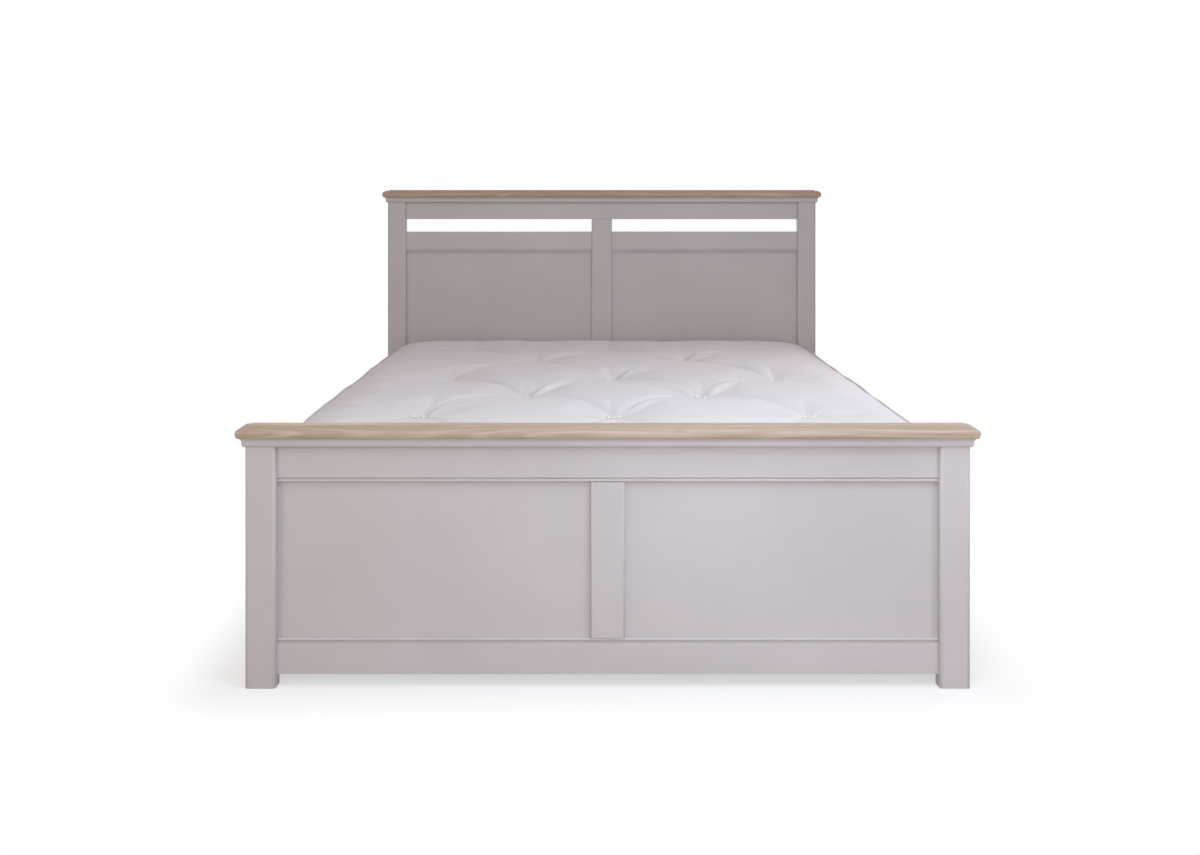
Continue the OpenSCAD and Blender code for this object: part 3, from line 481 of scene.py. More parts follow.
def sleeve_cells(along: Array, around: Array) -> tuple[Array, Array]:
    """Gives the faces of a short sleeve, and the UV places of their corners.

    Args:
        along: the length at each of its rings, in metres.
        around: the length round a ring at each of its points, in metres.
    Returns:
        The faces' vertex numbers, and two lengths for each of their corners.
    """
    cells = grid_faces(len(along), len(around), wrap=True)
    spots = np.stack(np.meshgrid(along, around, indexing="ij"), axis=-1).reshape(-1, 2)
    return cells, spots[cells]


def sleeve_points(axis: Array, radius: Any, first: Array, second: Array, sides: int) -> Array:
    """Gives the points round a line, ring by ring.

    Each lies away from its axis point by the radius times a direction: the first times the cosine
    of its turn plus the second times the sine.

    Args:
        axis: the line's points.
        radius: one radius for all, or one for each point.
        first, second: two directions at each point, or the same for all.
        sides: how many points round each ring.
    Returns:
        The points, one row each.
    """
    turn = np.linspace(0.0, 2 * math.pi, sides, endpoint=False)[:, None]
    ring = first[..., None, :] * np.cos(turn) + second[..., None, :] * np.sin(turn)
    return (axis[..., None, :] + np.asarray(radius)[..., None, None] * ring).reshape(-1, 3)


def cord_points(path: Array, radius: float, sides: int) -> Array:
    """Gives the points of a cord along a closed level path, ring by ring.

    Args:
        path: the points of the closed path.
        radius: the cord's radius.
        sides: how many points round each ring.
    Returns:
        The points, one row each.
    """
    forward = np.roll(path, -1, axis=0) - np.roll(path, 1, axis=0)
    forward /= np.linalg.norm(forward, axis=1, keepdims=True)
    outward = np.cross(forward, UP)
    outward /= np.linalg.norm(outward, axis=1, keepdims=True)
    return sleeve_points(path, radius, outward, np.cross(outward, forward), sides)


def length_along(path: Array) -> Array:
    """Gives the length walked from a closed path's first point to each of its points."""
    steps = np.linalg.norm(np.diff(path, axis=0), axis=1)
    return np.concatenate([[0.0], np.cumsum(steps)])


@dataclass(frozen=True)
class FoldKind:
    """A fold's section: its fall-off on the bowed side and on the other, and its lip.

    The lip's height is a share of the depth, its place and width are shares of the near fall-off.
    """

    far: float
    near: float
    lip: float
    lip_place: float = 2.2
    lip_width: float = 1.3


BOWED_FOLD = FoldKind(0.048, 0.008, 0.40)
STRAIGHT_FOLD = FoldKind(0.040, 0.018, 0.0)
RAY_FOLD = FoldKind(0.022, 0.008, 0.45)


@dataclass
class Mattress:
    """A tufted mattress: a domed case with rolled edges, piping, side stitches and tufts."""

    finishes: Finishes
    cell: float = 0.0060
    coarsening: int = 2
    corner_radius: float = 0.062
    seam_inset: float = 0.008
    seam_depth: float = 0.019
    seam_drop: float = 0.014
    bottom_roll: float = 0.014
    roll_width: float = 0.032
    crown: float = 0.016
    crown_start: float = 0.3
    crown_reach: float = 0.08
    corner_sag: float = 0.006
    corner_power: int = 6
    tuft_pitch: Pair = (0.480, 0.350)
    tuft_drift: tuple[float, ...] = (-0.030, -0.050, -0.080, 0.030, -0.030)
    tuft_aside: float = 0.018
    tuft_depth: float = 0.0185
    dip_shares: tuple[Pair, ...] = ((0.22, 0.012), (0.78, 0.120))
    swell: float = 0.0016
    calm_edge: float = 0.10
    fold_depth: float = 0.0105
    fold_limit: float = 0.013
    fold_bow: float = 0.031
    fold_onset: float = 0.020
    fold_fade: float = 1.3
    leftward_folds: tuple[float, ...] = (0.1, 1.1, 0.6, 0.5, 0.35, 0.1, 0.15, 0.1, 0.2, 0.15,
                                         0.1, 0.1, 0.1)
    rightward_folds: tuple[float, ...] = (1.1, 0.5, 0.2, 1.1, 0.5, 0.6, 1.0, 0.3, 0.4, 0.4,
                                          0.25, 0.25, 0.1)
    footward_share: float = 0.12
    bowed_reach: Pair = (0.80, 1.0)
    bow_spread: Pair = (0.75, 1.3)
    straight_aside: float = 0.02
    straight_reach: Pair = (0.20, 0.28)
    straight_bow: float = -0.004
    ray_angles: tuple[float, ...] = (14.0, 36.0, 58.0)
    ray_turn: float = 9.0
    ray_reach: Pair = (0.07, 0.15)
    ray_depth: Pair = (0.0012, 0.0036)
    ray_bow: Pair = (0.003, 0.010)
    slack: float = 0.005
    pressure: float = 0.7
    cloth_frames: int = 20
    cloth_cap: float = 0.012
    border_rings: int = 15
    stitch_rows: Pair = (0.30, 0.68)
    waist: float = 0.006
    border_onset: float = 0.05
    groove: Pair = (0.0028, 0.035)
    piping_radius: float = 0.0042
    piping_out: float = 0.55
    wave: float = 0.0018
    edge_waves: tuple[Triple, ...] = ((9, 0.7, 0.6), (17, 2.1, 0.5), (29, 4.0, 0.25))
    wave_shares: Pair = (0.6, 0.9)
    seed: int = 11
    low: Vector = field(default_factory=lambda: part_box("mattress")[0])
    high: Vector = field(default_factory=lambda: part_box("mattress")[1])

    def __post_init__(self) -> None:
        """Works out the middle, the half sizes, the seam heights and the tufts' places."""
        self.random = np.random.default_rng(self.seed)
        self.middle = np.array(((self.low + self.high) / 2)[:2])
        self.half = np.array([(self.high.x - self.low.x) / 2 - self.seam_inset,
                              (self.high.y - self.low.y) / 2 - self.seam_inset])
        self.top_seam = self.high.z - self.seam_depth
        self.bottom_seam = self.low.z + self.bottom_roll
        self.tufts = self.tuft_places()

    def tuft_places(self) -> Array:
        """Gives the tufts' places from the mattress's middle: rows of three and of two by turns.

        The rows have drifted a little along the mattress, and all tufts a little to the right.
        """
        pitch_x, pitch_y = self.tuft_pitch
        rows = np.arange(-2, 3)
        places = [(column * pitch_x + self.tuft_aside, row * pitch_y + drift)
                  for row, drift in zip(rows, self.tuft_drift)
                  for column in (np.arange(-1, 2) if row % 2 == 0 else (-0.5, 0.5))]
        return np.array(places)

    def outline(self, across: Array, along: Array) -> tuple[Array, Array]:
        """Lays a square grid onto a rectangle with round corners.

        In a corner's square, a point moves towards the corner's centre by the larger of its two
        distances over their length, which turns the square into a quarter disc.

        Args:
            across, along: grid places from the middle, in metres, up to the half sizes.
        Returns:
            The places from the middle after rounding.
        """
        inner = self.half - self.corner_radius
        beyond_x = np.maximum(np.abs(across) - inner[0], 0.0)
        beyond_y = np.maximum(np.abs(along) - inner[1], 0.0)
        length = np.hypot(beyond_x, beyond_y)
        share = np.maximum(beyond_x, beyond_y) / np.maximum(length, 1e-9)
        corner = (beyond_x > 0) & (beyond_y > 0)
        x = np.where(corner, np.sign(across) * (inner[0] + beyond_x * share), across)
        y = np.where(corner, np.sign(along) * (inner[1] + beyond_y * share), along)
        return x, y

    def edge_distance(self, x: Array, y: Array) -> Array:
        """Gives how far inside the rounded outline each place lies."""
        inner = self.half - self.corner_radius
        beyond_x = np.abs(x) - inner[0]
        beyond_y = np.abs(y) - inner[1]
        outside = np.hypot(np.maximum(beyond_x, 0.0), np.maximum(beyond_y, 0.0))
        within = np.minimum(np.maximum(beyond_x, beyond_y), 0.0)
        return self.corner_radius - outside - within

    def stations(self, half: float) -> Array:
        """Gives grid lines from -half to half, twice as close together at the rolled edges."""
        edge = np.linspace(0.0, self.roll_width, int(self.roll_width / (self.cell / 2)) + 1)
        count = int((2 * half - 2 * self.roll_width) / self.cell)
        inside = np.linspace(self.roll_width, 2 * half - self.roll_width, count + 1)
        return np.concatenate([edge[:-1], inside, 2 * half - edge[::-1][1:]]) - half

    def fold(self, x: Array, y: Array, start: Array, end: Array, bow: float, depth: float,
             kind: FoldKind) -> Array:
        """Gives the height that one fold adds or takes.

        The fold's line runs from start to end, bowed sideways by 4 t (1 - t) times the bow, where t
        is the share of its length. Its valley is the depth times exp(-d / length), with a long
        fall-off on the side that it is bowed to and a short one on the other, where a bell curve
        lifts a lip beside it. Along the line both set in over a few centimetres and die away as
        (1 - t) to the power of the fade.

        Args:
            x, y: places from the mattress's middle.
            start, end: the fold's two ends.
            bow: how far its middle lies to the left of the straight line.
            depth: its depth near the start.
            kind: its section.
        Returns:
            The height at each place, below zero in the valley.
        """
        run = end - start
        length = float(np.hypot(*run))
        ahead = run / length
        t = ((x - start[0]) * ahead[0] + (y - start[1]) * ahead[1]) / length
        side = (y - start[1]) * ahead[0] - (x - start[0]) * ahead[1]
        side = (side - bow * 4 * t * (1 - t)) * (1.0 if bow > 0 else -1.0)
        valley = np.exp(-np.abs(side) / np.where(side > 0, kind.far, kind.near))
        lip_side = (side + kind.lip_place * kind.near) / (kind.lip_width * kind.near)
        raised = kind.lip * np.exp(-lip_side ** 2)
        onset = 1 - np.exp(-np.maximum(t, 0.0) * length / self.fold_onset)
        return depth * (raised - valley) * ((1 - np.clip(t, 0.0, 1.0)) ** self.fold_fade * onset)

    def folds(self, x: Array, y: Array) -> Array:
        """Gives the height of all folds.

        Each tuft pulls a long bowed fold towards each of its nearest tufts in the next row
        headwards, by its own share of the depth, and a weak one towards each in the row footwards.
        A straight fold runs headwards from it, and a few short ones at chance angles. Where valleys
        meet, their sum h becomes limit tanh(h / limit).
        """
        height = np.zeros_like(x)
        for place, *shares in zip(self.tufts, self.leftward_folds, self.rightward_folds):
            for across, strength in zip((-1, 1), shares):
                for away, share in ((1, strength), (-1, self.footward_share)):
                    reach = self.random.uniform(*self.bowed_reach)
                    step = np.array([across * self.tuft_pitch[0] / 2, away * self.tuft_pitch[1]])
                    bow = across * away * self.fold_bow * self.random.uniform(*self.bow_spread)
                    height += self.fold(x, y, place, place + step * reach, bow,
                                        self.fold_depth * share, BOWED_FOLD)
            end = place + np.array([self.random.uniform(-self.straight_aside, self.straight_aside),
                                    self.random.uniform(*self.straight_reach)])
            height += self.fold(x, y, place, end, self.straight_bow, self.fold_depth, STRAIGHT_FOLD)
            for mean in self.ray_angles:
                angle = math.radians(mean + self.random.uniform(-self.ray_turn, self.ray_turn))
                direction = np.array([math.cos(angle), math.sin(angle)])
                end = place + self.random.uniform(*self.ray_reach) * direction
                depth = self.random.uniform(*self.ray_depth)
                bow = self.random.uniform(*self.ray_bow) * self.random.choice((-1, 1))
                height += self.fold(x, y, place, end, bow, depth, RAY_FOLD)
        return np.where(height < 0, self.fold_limit * np.tanh(height / self.fold_limit), height)

    def top_height(self, x: Array, y: Array) -> Array:
        """Gives the height of the ticking's top.

        It rises from the seam over a quarter ellipse, then slowly over the crown. Each tuft takes
        off its depth as a narrow and a broad exponential of the distance. The folds take theirs.
        """
        inside = np.maximum(self.edge_distance(x, y), 0.0)
        rolled = np.clip(inside / self.roll_width, 0.0, 1.0)
        roll = self.seam_drop * np.sqrt(1 - (1 - rolled) ** 2)
        past_roll = np.maximum(inside - self.roll_width * self.crown_start, 0.0)
        dome = self.crown * (1 - np.exp(-past_roll / self.crown_reach))
        dips = np.zeros_like(x)
        for place in self.tufts:
            distance = np.hypot(x - place[0], y - place[1])
            dips += self.tuft_depth * sum(share * np.exp(-distance / reach)
                                          for share, reach in self.dip_shares)
        damp = np.clip(inside / self.calm_edge, 0.0, 1.0)
        swell = self.swell * np.sin(x * 13.1 + 1.0) * np.sin(y * 9.7 + 0.4)
        return (self.top_seam + roll + dome - self.corner_sag * self.cornerwards(x, y) - dips
                + (self.folds(x, y) + swell) * damp)

    def cornerwards(self, x: Array, y: Array) -> Array:
        """Gives 0 inside and 1 at a corner.

        It is the product of both distances from the middle over their half sizes, to a high power.
        """
        power = self.corner_power
        return np.clip((np.abs(x) / self.half[0]) ** power * (np.abs(y) / self.half[1]) ** power,
                       0.0, 1.0)

    def wavy(self, s: Array) -> Array:
        """Gives the slow in and out of the edge at each length along it, as a sum of sines.

        Each sine has a whole number of waves round the edge, a starting angle and a share.
        """
        turn = 2 * math.pi * s / float(s[-1] + (s[1] - s[0]))
        return self.wave * sum(share * np.sin(turn * waves + start)
                               for waves, start, share in self.edge_waves)

    def build(self) -> list[Object]:
        """Builds the ticking, its piping, tufts and side stitches.

        Returns:
            The pieces, the ticking first.
        """
        ticking, seam = self.ticking()
        pieces = [ticking, *self.piping(seam), self.tuft_ties(ticking), self.side_stitches(seam)]
        for piece in pieces:
            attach(piece, "platform")
            LOG.info("%s has %d faces", piece.name, len(piece.data.polygons))
        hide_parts("mattress")
        return pieces

    def ticking(self) -> tuple[Object, Array]:
        """Builds the closed case: the domed top, the border with its drawn-in sides, and the base.

        Returns:
            The case, and the level outline of its seams.
        """
        lines_x, lines_y = self.stations(self.half[0]), self.stations(self.half[1])
        across, along = np.meshgrid(lines_x, lines_y)
        x, y = self.outline(across, along)
        top = np.stack([x, y, self.top_height(x, y)], axis=-1)
        rows, columns = x.shape
        number = np.arange(rows * columns).reshape(rows, columns)
        rim = np.concatenate([number[0, :-1], number[:-1, -1], number[-1, :0:-1], number[:0:-1, 0]])
        flat = top.reshape(-1, 3)
        seam = flat[rim].copy()
        s = length_along(seam)
        wavy = self.wavy(s)
        out = self.outward(seam)
        sideways, upright = self.wave_shares
        flat[rim, :2] += out * wavy[:, None] * sideways
        sag = self.corner_sag * self.cornerwards(seam[:, 0], seam[:, 1])
        flat[rim, 2] = self.top_seam + wavy * upright - sag
        flat = self.settled(top).reshape(-1, 3)
        seam = flat[rim].copy()
        t = np.linspace(0.0, 1.0, self.border_rings + 1)[1:-1]
        bulge = self.border_profile(t)
        z = seam[None, :, 2] + (self.bottom_seam - seam[None, :, 2]) * t[:, None]
        plan = seam[None, :, :2] + out[None] * bulge[:, None, None]
        border = np.concatenate([plan, z[..., None]], axis=-1).reshape(-1, 3)
        base = self.base_rings(seam, out)
        points = np.concatenate([flat, border, base.reshape(-1, 3)])
        points[:, :2] += self.middle
        around, start = len(rim), len(flat)
        rings = [rim] + [start + ring * around + np.arange(around)
                         for ring in range(len(t) + len(base))]
        grid = grid_faces(rows, columns)
        faces = [grid]
        uv = [np.stack([across, along], axis=-1).reshape(-1, 2)[grid]]
        stations = np.vstack([points[ring] for ring in rings]).reshape(len(rings), around, 3)
        fall = np.linalg.norm(np.diff(stations, axis=0), axis=2).mean(axis=1)
        down = np.concatenate([[0.0], np.cumsum(fall)])
        s_next = np.append(s[1:], s[-1] + (s[1] - s[0]))
        for ring, (upper, lower) in enumerate(zip(rings, rings[1:])):
            faces.append(np.stack([upper, lower, np.roll(lower, -1), np.roll(upper, -1)], axis=1))
            corners = ((s, ring), (s, ring + 1), (s_next, ring + 1), (s_next, ring))
            uv.append(np.stack([np.stack([place, np.full_like(s, down[row])], -1)
                                for place, row in corners], 1))
        under = rings[-1][::-1]
        polygons = [*np.concatenate(faces).tolist(), under.tolist()]
        places = np.concatenate([np.concatenate(uv).reshape(-1, 2), points[under, :2]])
        material = self.finishes.of(TICKING)
        return mesh_object("mattress_ticking", points, polygons, places, material), seam

    def base_rings(self, seam: Array, out: Array) -> Array:
        """Gives the rings that round the border's foot over into the flat base.

        Ring by ring the outline steps in and down over a quarter circle whose radius is the bottom
        seam's height over the base, and the last ring lies further in on the base.

        Args:
            seam: the seam's points from the mattress's middle.
            out: the outward direction at each of them.
        Returns:
            The rings' points.
        """
        radius = self.bottom_seam - self.low.z
        turns = np.linspace(0.0, math.pi / 2, 5)
        steps = [(radius * (1 - math.cos(turn)), radius * math.sin(turn)) for turn in turns]
        steps.append((self.roll_width, radius))
        return np.stack([np.column_stack([seam[:, :2] - out * inwards,
                                          np.full(len(seam), self.bottom_seam - drop)])
                         for inwards, drop in steps])

    def border_profile(self, t: Array) -> Array:
        """Gives how far the border stands out past the seam at each share of its height.

        It swells out over the first and last eighth, is drawn in at the waist, and has a shallow
        groove at each of the two rows of side stitches.
        """
        onset = self.border_onset
        swell = self.seam_inset * (1 - np.exp(-t / onset)) * (1 - np.exp(-(1 - t) / onset))
        depth, reach = self.groove
        grooves = depth * sum(np.exp(-((t - row) / reach) ** 2) for row in self.stitch_rows)
        return swell - self.waist * np.sin(math.pi * t) ** 2 - grooves

    def outward(self, seam: Array) -> Array:
        """Gives the level outward direction at each point of a closed outline."""
        forward = np.roll(seam[:, :2], -1, axis=0) - np.roll(seam[:, :2], 1, axis=0)
        forward /= np.linalg.norm(forward, axis=1, keepdims=True)
        return np.stack([forward[:, 1], -forward[:, 0]], axis=1)

    def settled(self, top: Array) -> Array:
        """Lets the top panel settle as slack cloth, held at its seam and its tufts.

        The cloth has every second grid line of the panel. Its movement is carried back to all lines
        by cubic splines, so that the fine folds of the panel stay.

        Args:
            top: the panel's grid of points from the mattress's middle.
        Returns:
            The points after the cloth has settled, none moved further than the cap.
        """
        rows, columns = top.shape[:2]
        every_row, every_column = self.thinned(rows), self.thinned(columns)
        coarse = top[np.ix_(every_row, every_column)]
        flat = coarse.reshape(-1, 3)
        edge = np.ones(coarse.shape[:2], bool)
        edge[1:-1, 1:-1] = False
        sheet = mesh_object("settling", flat, grid_faces(*coarse.shape[:2]))
        held = sheet.vertex_groups.new(name="held")
        held.add(np.nonzero(edge.ravel())[0].tolist(), 1.0, "REPLACE")
        distance = np.min(np.hypot(flat[:, None, 0] - self.tufts[None, :, 0],
                                   flat[:, None, 1] - self.tufts[None, :, 1]), axis=1)
        held.add(np.nonzero(distance < self.cell * self.coarsening)[0].tolist(), 1.0, "REPLACE")
        cloth = sheet.modifiers.new("Cloth", "CLOTH")
        for name, value in {"vertex_group_mass": "held", "quality": 5, "mass": 0.15,
                            "tension_stiffness": 18, "compression_stiffness": 6,
                            "shear_stiffness": 4, "bending_stiffness": 0.8,
                            "shrink_min": -self.slack, "use_pressure": True,
                            "uniform_pressure_force": self.pressure}.items():
            setattr(cloth.settings, name, value)
        cloth.settings.effector_weights.gravity = 0.0
        cloth.collision_settings.use_collision = False
        cloth.point_cache.frame_start = 1
        cloth.point_cache.frame_end = self.cloth_frames
        for number in range(1, self.cloth_frames + 1):
            bpy.context.scene.frame_set(number)
        depsgraph = bpy.context.evaluated_depsgraph_get()
        result = sheet.evaluated_get(depsgraph)
        settled = np.zeros(len(flat) * 3, np.float32)
        result.data.vertices.foreach_get("co", settled)
        moved = settled.reshape(-1, 3).astype(float) - flat
        length = np.linalg.norm(moved, axis=1, keepdims=True)
        moved *= np.minimum(1.0, self.cloth_cap / np.maximum(length, 1e-9))
        LOG.info("the cloth moved %.1f mm at most, %.1f mm on average",
                 length.max() / MM, length.mean() / MM)
        bpy.data.objects.remove(sheet, do_unlink=True)
        bpy.context.scene.frame_set(1)
        moved = moved.reshape(coarse.shape)
        moved = np.einsum("ri,ijk->rjk", self.spline(rows, every_row), moved)
        return top + np.einsum("cj,rjk->rck", self.spline(columns, every_column), moved)

    def thinned(self, count: int) -> Array:
        """Gives the numbers of the grid lines that the cloth keeps, the last one included."""
        return np.unique(np.append(np.arange(0, count, self.coarsening), count - 1))

    def spline(self, count: int, kept: Array) -> Array:
        """Gives the weights that carry values on the kept lines to all lines.

        A Catmull-Rom cubic runs through the kept values: between two lines its weights are cubic
        polynomials of the share t of the way, and the line before the first repeats the first.

        Args:
            count: how many lines there are.
            kept: the numbers of the kept lines.
        Returns:
            One row of weights for each line.
        """
        weights = np.zeros((count, len(kept)))
        line = np.arange(count)
        first = np.clip(np.searchsorted(kept, line, side="right") - 1, 0, len(kept) - 2)
        t = (line - kept[first]) / (kept[first + 1] - kept[first])
        terms = (0.5 * (-t ** 3 + 2 * t ** 2 - t), 0.5 * (3 * t ** 3 - 5 * t ** 2 + 2),
                 0.5 * (-3 * t ** 3 + 4 * t ** 2 + t), 0.5 * (t ** 3 - t ** 2))
        for step, term in enumerate(terms):
            np.add.at(weights, (line, np.clip(first + step - 1, 0, len(kept) - 1)), term)
        return weights

    def piping(self, seam: Array) -> list[Object]:
        """Builds the covered cords that close the top and bottom seams.

        Args:
            seam: the seam's points from the mattress's middle.
        Returns:
            The two cords.
        """
        sides = 10
        cords = []
        for name, height in (("top_piping", None), ("bottom_piping", self.bottom_seam)):
            path = seam.copy()
            if height is not None:
                path[:, 2] = height
            path[:, :2] += self.outward(seam) * self.piping_radius * self.piping_out
            path[:, :2] += self.middle
            count = len(path)
            points = cord_points(path, self.piping_radius, sides)
            last = np.arange(sides)
            after, end = (last + 1) % sides, (count - 1) * sides
            faces = np.concatenate([grid_faces(count, sides, wrap=True),
                                    np.stack([end + last, end + after, after, last], axis=1)])
            s = length_along(path)
            girth = 2 * math.pi * self.piping_radius
            turn = np.arange(sides) / sides * girth
            place = np.stack([np.repeat(s, sides), np.tile(turn, count)], axis=-1)
            cords.append(mesh_object("mattress_" + name, points, faces, place[faces],
                                     self.finishes.of(PIPING)))
        return cords

    def tuft_ties(self, ticking: Object) -> Object:
        """Builds the tufts' ties: on each, a short twine across the dip with a knot at each end.

        A tie's radius is a thin twine in its middle that swells to a knot towards both ends: the
        sum of the twine's radius and two bell curves. Its axis follows the ticking, and bridges
        what lies deeper than 3 mm under its highest point.

        Args:
            ticking: the case, whose points give the height at each tuft.
        Returns:
            All ties as one piece.
        """
        steps, sides = 15, 8
        half_length, twine, knot, bridge, lift = 0.0190, 0.0016, 0.0040, 0.003, 0.0030
        t = np.linspace(-1.0, 1.0, steps)
        turn = np.linspace(0.0, 2 * math.pi, sides, endpoint=False)
        radius = twine + knot * sum(np.exp(-((t - middle) / width) ** 2)
                                    for middle, width in ((0.66, 0.24), (-0.70, 0.20)))
        radius *= np.sqrt(np.clip(1.0001 - t ** 8, 0.0, 1.0))
        co = np.zeros(len(ticking.data.vertices) * 3, np.float32)
        ticking.data.vertices.foreach_get("co", co)
        co = co.reshape(-1, 3)
        upper = co[co[:, 2] > self.top_seam - self.tuft_depth]
        cells, spots = sleeve_cells(t * half_length, turn * twine)
        points, faces, places = [], [], []
        for index, place in enumerate(self.tufts):
            centre = place + self.middle
            angle = self.random.uniform(-0.3, 0.3)
            direction = np.array([math.cos(angle), math.sin(angle), 0.0])
            side = np.array([-math.sin(angle), math.cos(angle), 0.0])
            line = np.array([centre[0], centre[1], 0.0]) + t[:, None] * half_length * direction
            reach = np.hypot(line[:, None, 0] - upper[None, :, 0],
                             line[:, None, 1] - upper[None, :, 1])
            line[:, 2] = upper[np.argmin(reach, axis=1), 2]
            line[:, 2] = np.maximum(line[:, 2], line[:, 2].max() - bridge) + lift
            points.append(sleeve_points(line, radius, side, UP, sides))
            faces.append(cells + index * steps * sides)
            places.append(spots)
        return mesh_object("tuft_ties", np.concatenate(points), np.concatenate(faces),
                           np.concatenate(places), self.finishes.of(TWINE))

    def side_stitches(self, seam: Array) -> Object:
        """Builds two rows of short stitches that draw the border in.

        Each stitch is a bent grain of thread: its radius is the thread's times the root of 1.05
        minus the fourth power of its place, and it stands out along the border's outward direction.

        Args:
            seam: the seam's points from the mattress's middle.
        Returns:
            All stitches as one piece.
        """
        steps, sides, pitch, half_length, thread = 5, 5, 0.042, 0.010, 0.0011
        s = length_along(seam)
        total = float(s[-1] + np.linalg.norm(seam[0] - seam[-1]))
        centres = np.arange(0.0, total - pitch / 2, pitch)
        closed = np.vstack([seam, seam[:1]])
        out = self.outward(seam)
        closed_out = np.vstack([out, out[:1]])
        lengths = np.append(s, total)
        t = np.linspace(-1.0, 1.0, steps)
        turn = np.linspace(0.0, 2 * math.pi, sides, endpoint=False)
        radius = thread * np.sqrt(np.clip(1.05 - t ** 4, 0.0, 1.0))
        cells, spots = sleeve_cells(t * half_length, turn * thread)
        points, faces, places = [], [], []
        for row, share in enumerate(self.stitch_rows):
            stand = float(self.border_profile(np.array([share]))[0])
            where = (centres[:, None] + t[None, :] * half_length + row * pitch / 2) % total
            x, y, z, out_x, out_y = (np.interp(where, lengths, column)
                                     for column in (*closed.T, *closed_out.T))
            lift = stand + thread * 0.4
            axis = np.stack([x + out_x * lift + self.middle[0], y + out_y * lift + self.middle[1],
                             z + (self.bottom_seam - z) * share], axis=-1)
            normal = np.stack([out_x, out_y, np.zeros_like(out_x)], axis=-1)
            first = sum(len(block) for block in points)
            points.append(sleeve_points(axis, radius, normal, UP, sides))
            starts = first + np.arange(len(centres)) * steps * sides
            faces.append((cells[None] + starts[:, None, None]).reshape(-1, 4))
            places.append(np.tile(spots, (len(centres), 1, 1)))
        return mesh_object("border_stitches", np.concatenate(points), np.concatenate(faces),
                           np.concatenate(places), self.finishes.of(TWINE))


def sided(*names: str) -> list[str]:
    """Gives the left and right node of each name."""
    return [f"{name}_{side}" for name in names for side in ("left", "right")]


@dataclass
class Headboard:
    """The headboard: posts, rails and a stile round two panels, a cornice and an oak cap."""

    finishes: Finishes
    arris: float = 0.0012

    def build(self) -> None:
        """Paints the joinery along each piece's grain and oils the cap, in an oak with painted
        shade.
        """
        dress = self.finishes.dress
        dress([*sided("head_post"), "head_stile"], PAINT_ALONG_Z, self.arris)
        dress(["head_cornice", "head_top_rail", *sided("head_mid_rail"), "head_bottom_rail",
               *sided("head_panel")], PAINT_ALONG_X, self.arris)
        # The cap's oak is darker and warmer than the foot cap's: painted shade.
        dress(["head_cap"], HEAD_OAK_PAINTED_SHADE, self.arris)


@dataclass
class Footboard:
    """The footboard: legs, rails and a stile round two panels, a cornice and an oak cap."""

    finishes: Finishes
    arris: float = 0.0012

    def build(self) -> None:
        """Paints the joinery along each piece's grain and oils the cap."""
        dress = self.finishes.dress
        dress([*sided("foot_leg"), "foot_stile"], PAINT_ALONG_Z, self.arris)
        dress(["foot_cornice", "foot_top_rail", "foot_bottom_rail", *sided("foot_panel")],
              PAINT_ALONG_X, self.arris)
        dress(["foot_cap"], FOOT_OAK, self.arris)


@dataclass
class StorageBase:
    """The side rails, the floor of the storage well, and the blocks under the platform."""

    finishes: Finishes
    arris: float = 0.0010
    board_edge: float = 0.0006
    moulded_edge: float = 0.0008
    bolt_edge: float = 0.0005

    def build(self) -> None:
        """Finishes the rails, boards, blocks, brackets and feet.

        A bevel would show lines on the corner brackets' sheet steel with holes, so they have none.
        """
        dress = self.finishes.dress
        dress(sided("side_rail"), PAINT_ALONG_Y, self.arris)
        dress(["foot_bearer", "floor_battens"], PINE, self.arris)
        dress(["rest_blocks", "floor_ledgers"], PINE_ALONG_Y, self.arris)
        dress(["floor_board_foot", "floor_board_middle", "floor_board_head"], BOARD,
              self.board_edge)
        dress(["rest_pads"], RUBBER, self.moulded_edge)
        dress(["centre_feet"], PLASTIC, self.moulded_edge)
        dress(["corner_brackets"], BLACK_STEEL)
        dress(["corner_bolts"], ZINC, self.bolt_edge)


@dataclass
class Platform:
    """The lift platform: a frame of steel tube, bent slats in holders, and mattress stops."""

    finishes: Finishes
    tube_edge: float = 0.0016
    slat_edge: float = 0.0012
    small_edge: float = 0.0006

    def build(self) -> None:
        """Finishes the tubes, slats, holders and stops."""
        dress = self.finishes.dress
        dress([*sided("side_tube"), "foot_tube", "head_tube", "centre_tube"], BLACK_STEEL,
              self.tube_edge)
        dress(["mattress_stops"], BLACK_STEEL, self.small_edge)
        dress(sided("slats"), SLAT_WOOD, self.slat_edge)
        dress([*sided("slat_holders"), "slat_holders_centre"], PLASTIC, self.small_edge)


@dataclass
class LiftMechanism:
    """The hinges and gas struts: plates, links, brackets, pins, cylinders and rods."""

    finishes: Finishes
    edge: float = 0.0004

    def build(self) -> None:
        """Finishes the plates, links, brackets, screws, pins and struts.

        A bevel would show lines on the sheet steel with holes, so it has none.
        """
        dress = self.finishes.dress
        dress(sided("hinge_plate", "main_link", "rear_link", "platform_bracket"), BLACK_STEEL)
        dress(["hinge_screws", "fixed_pins", "platform_pins"], ZINC, self.edge)
        dress(sided("strut_cylinder"), BLACK_STEEL, self.edge)
        dress(sided("strut_rod"), CHROME, self.edge)


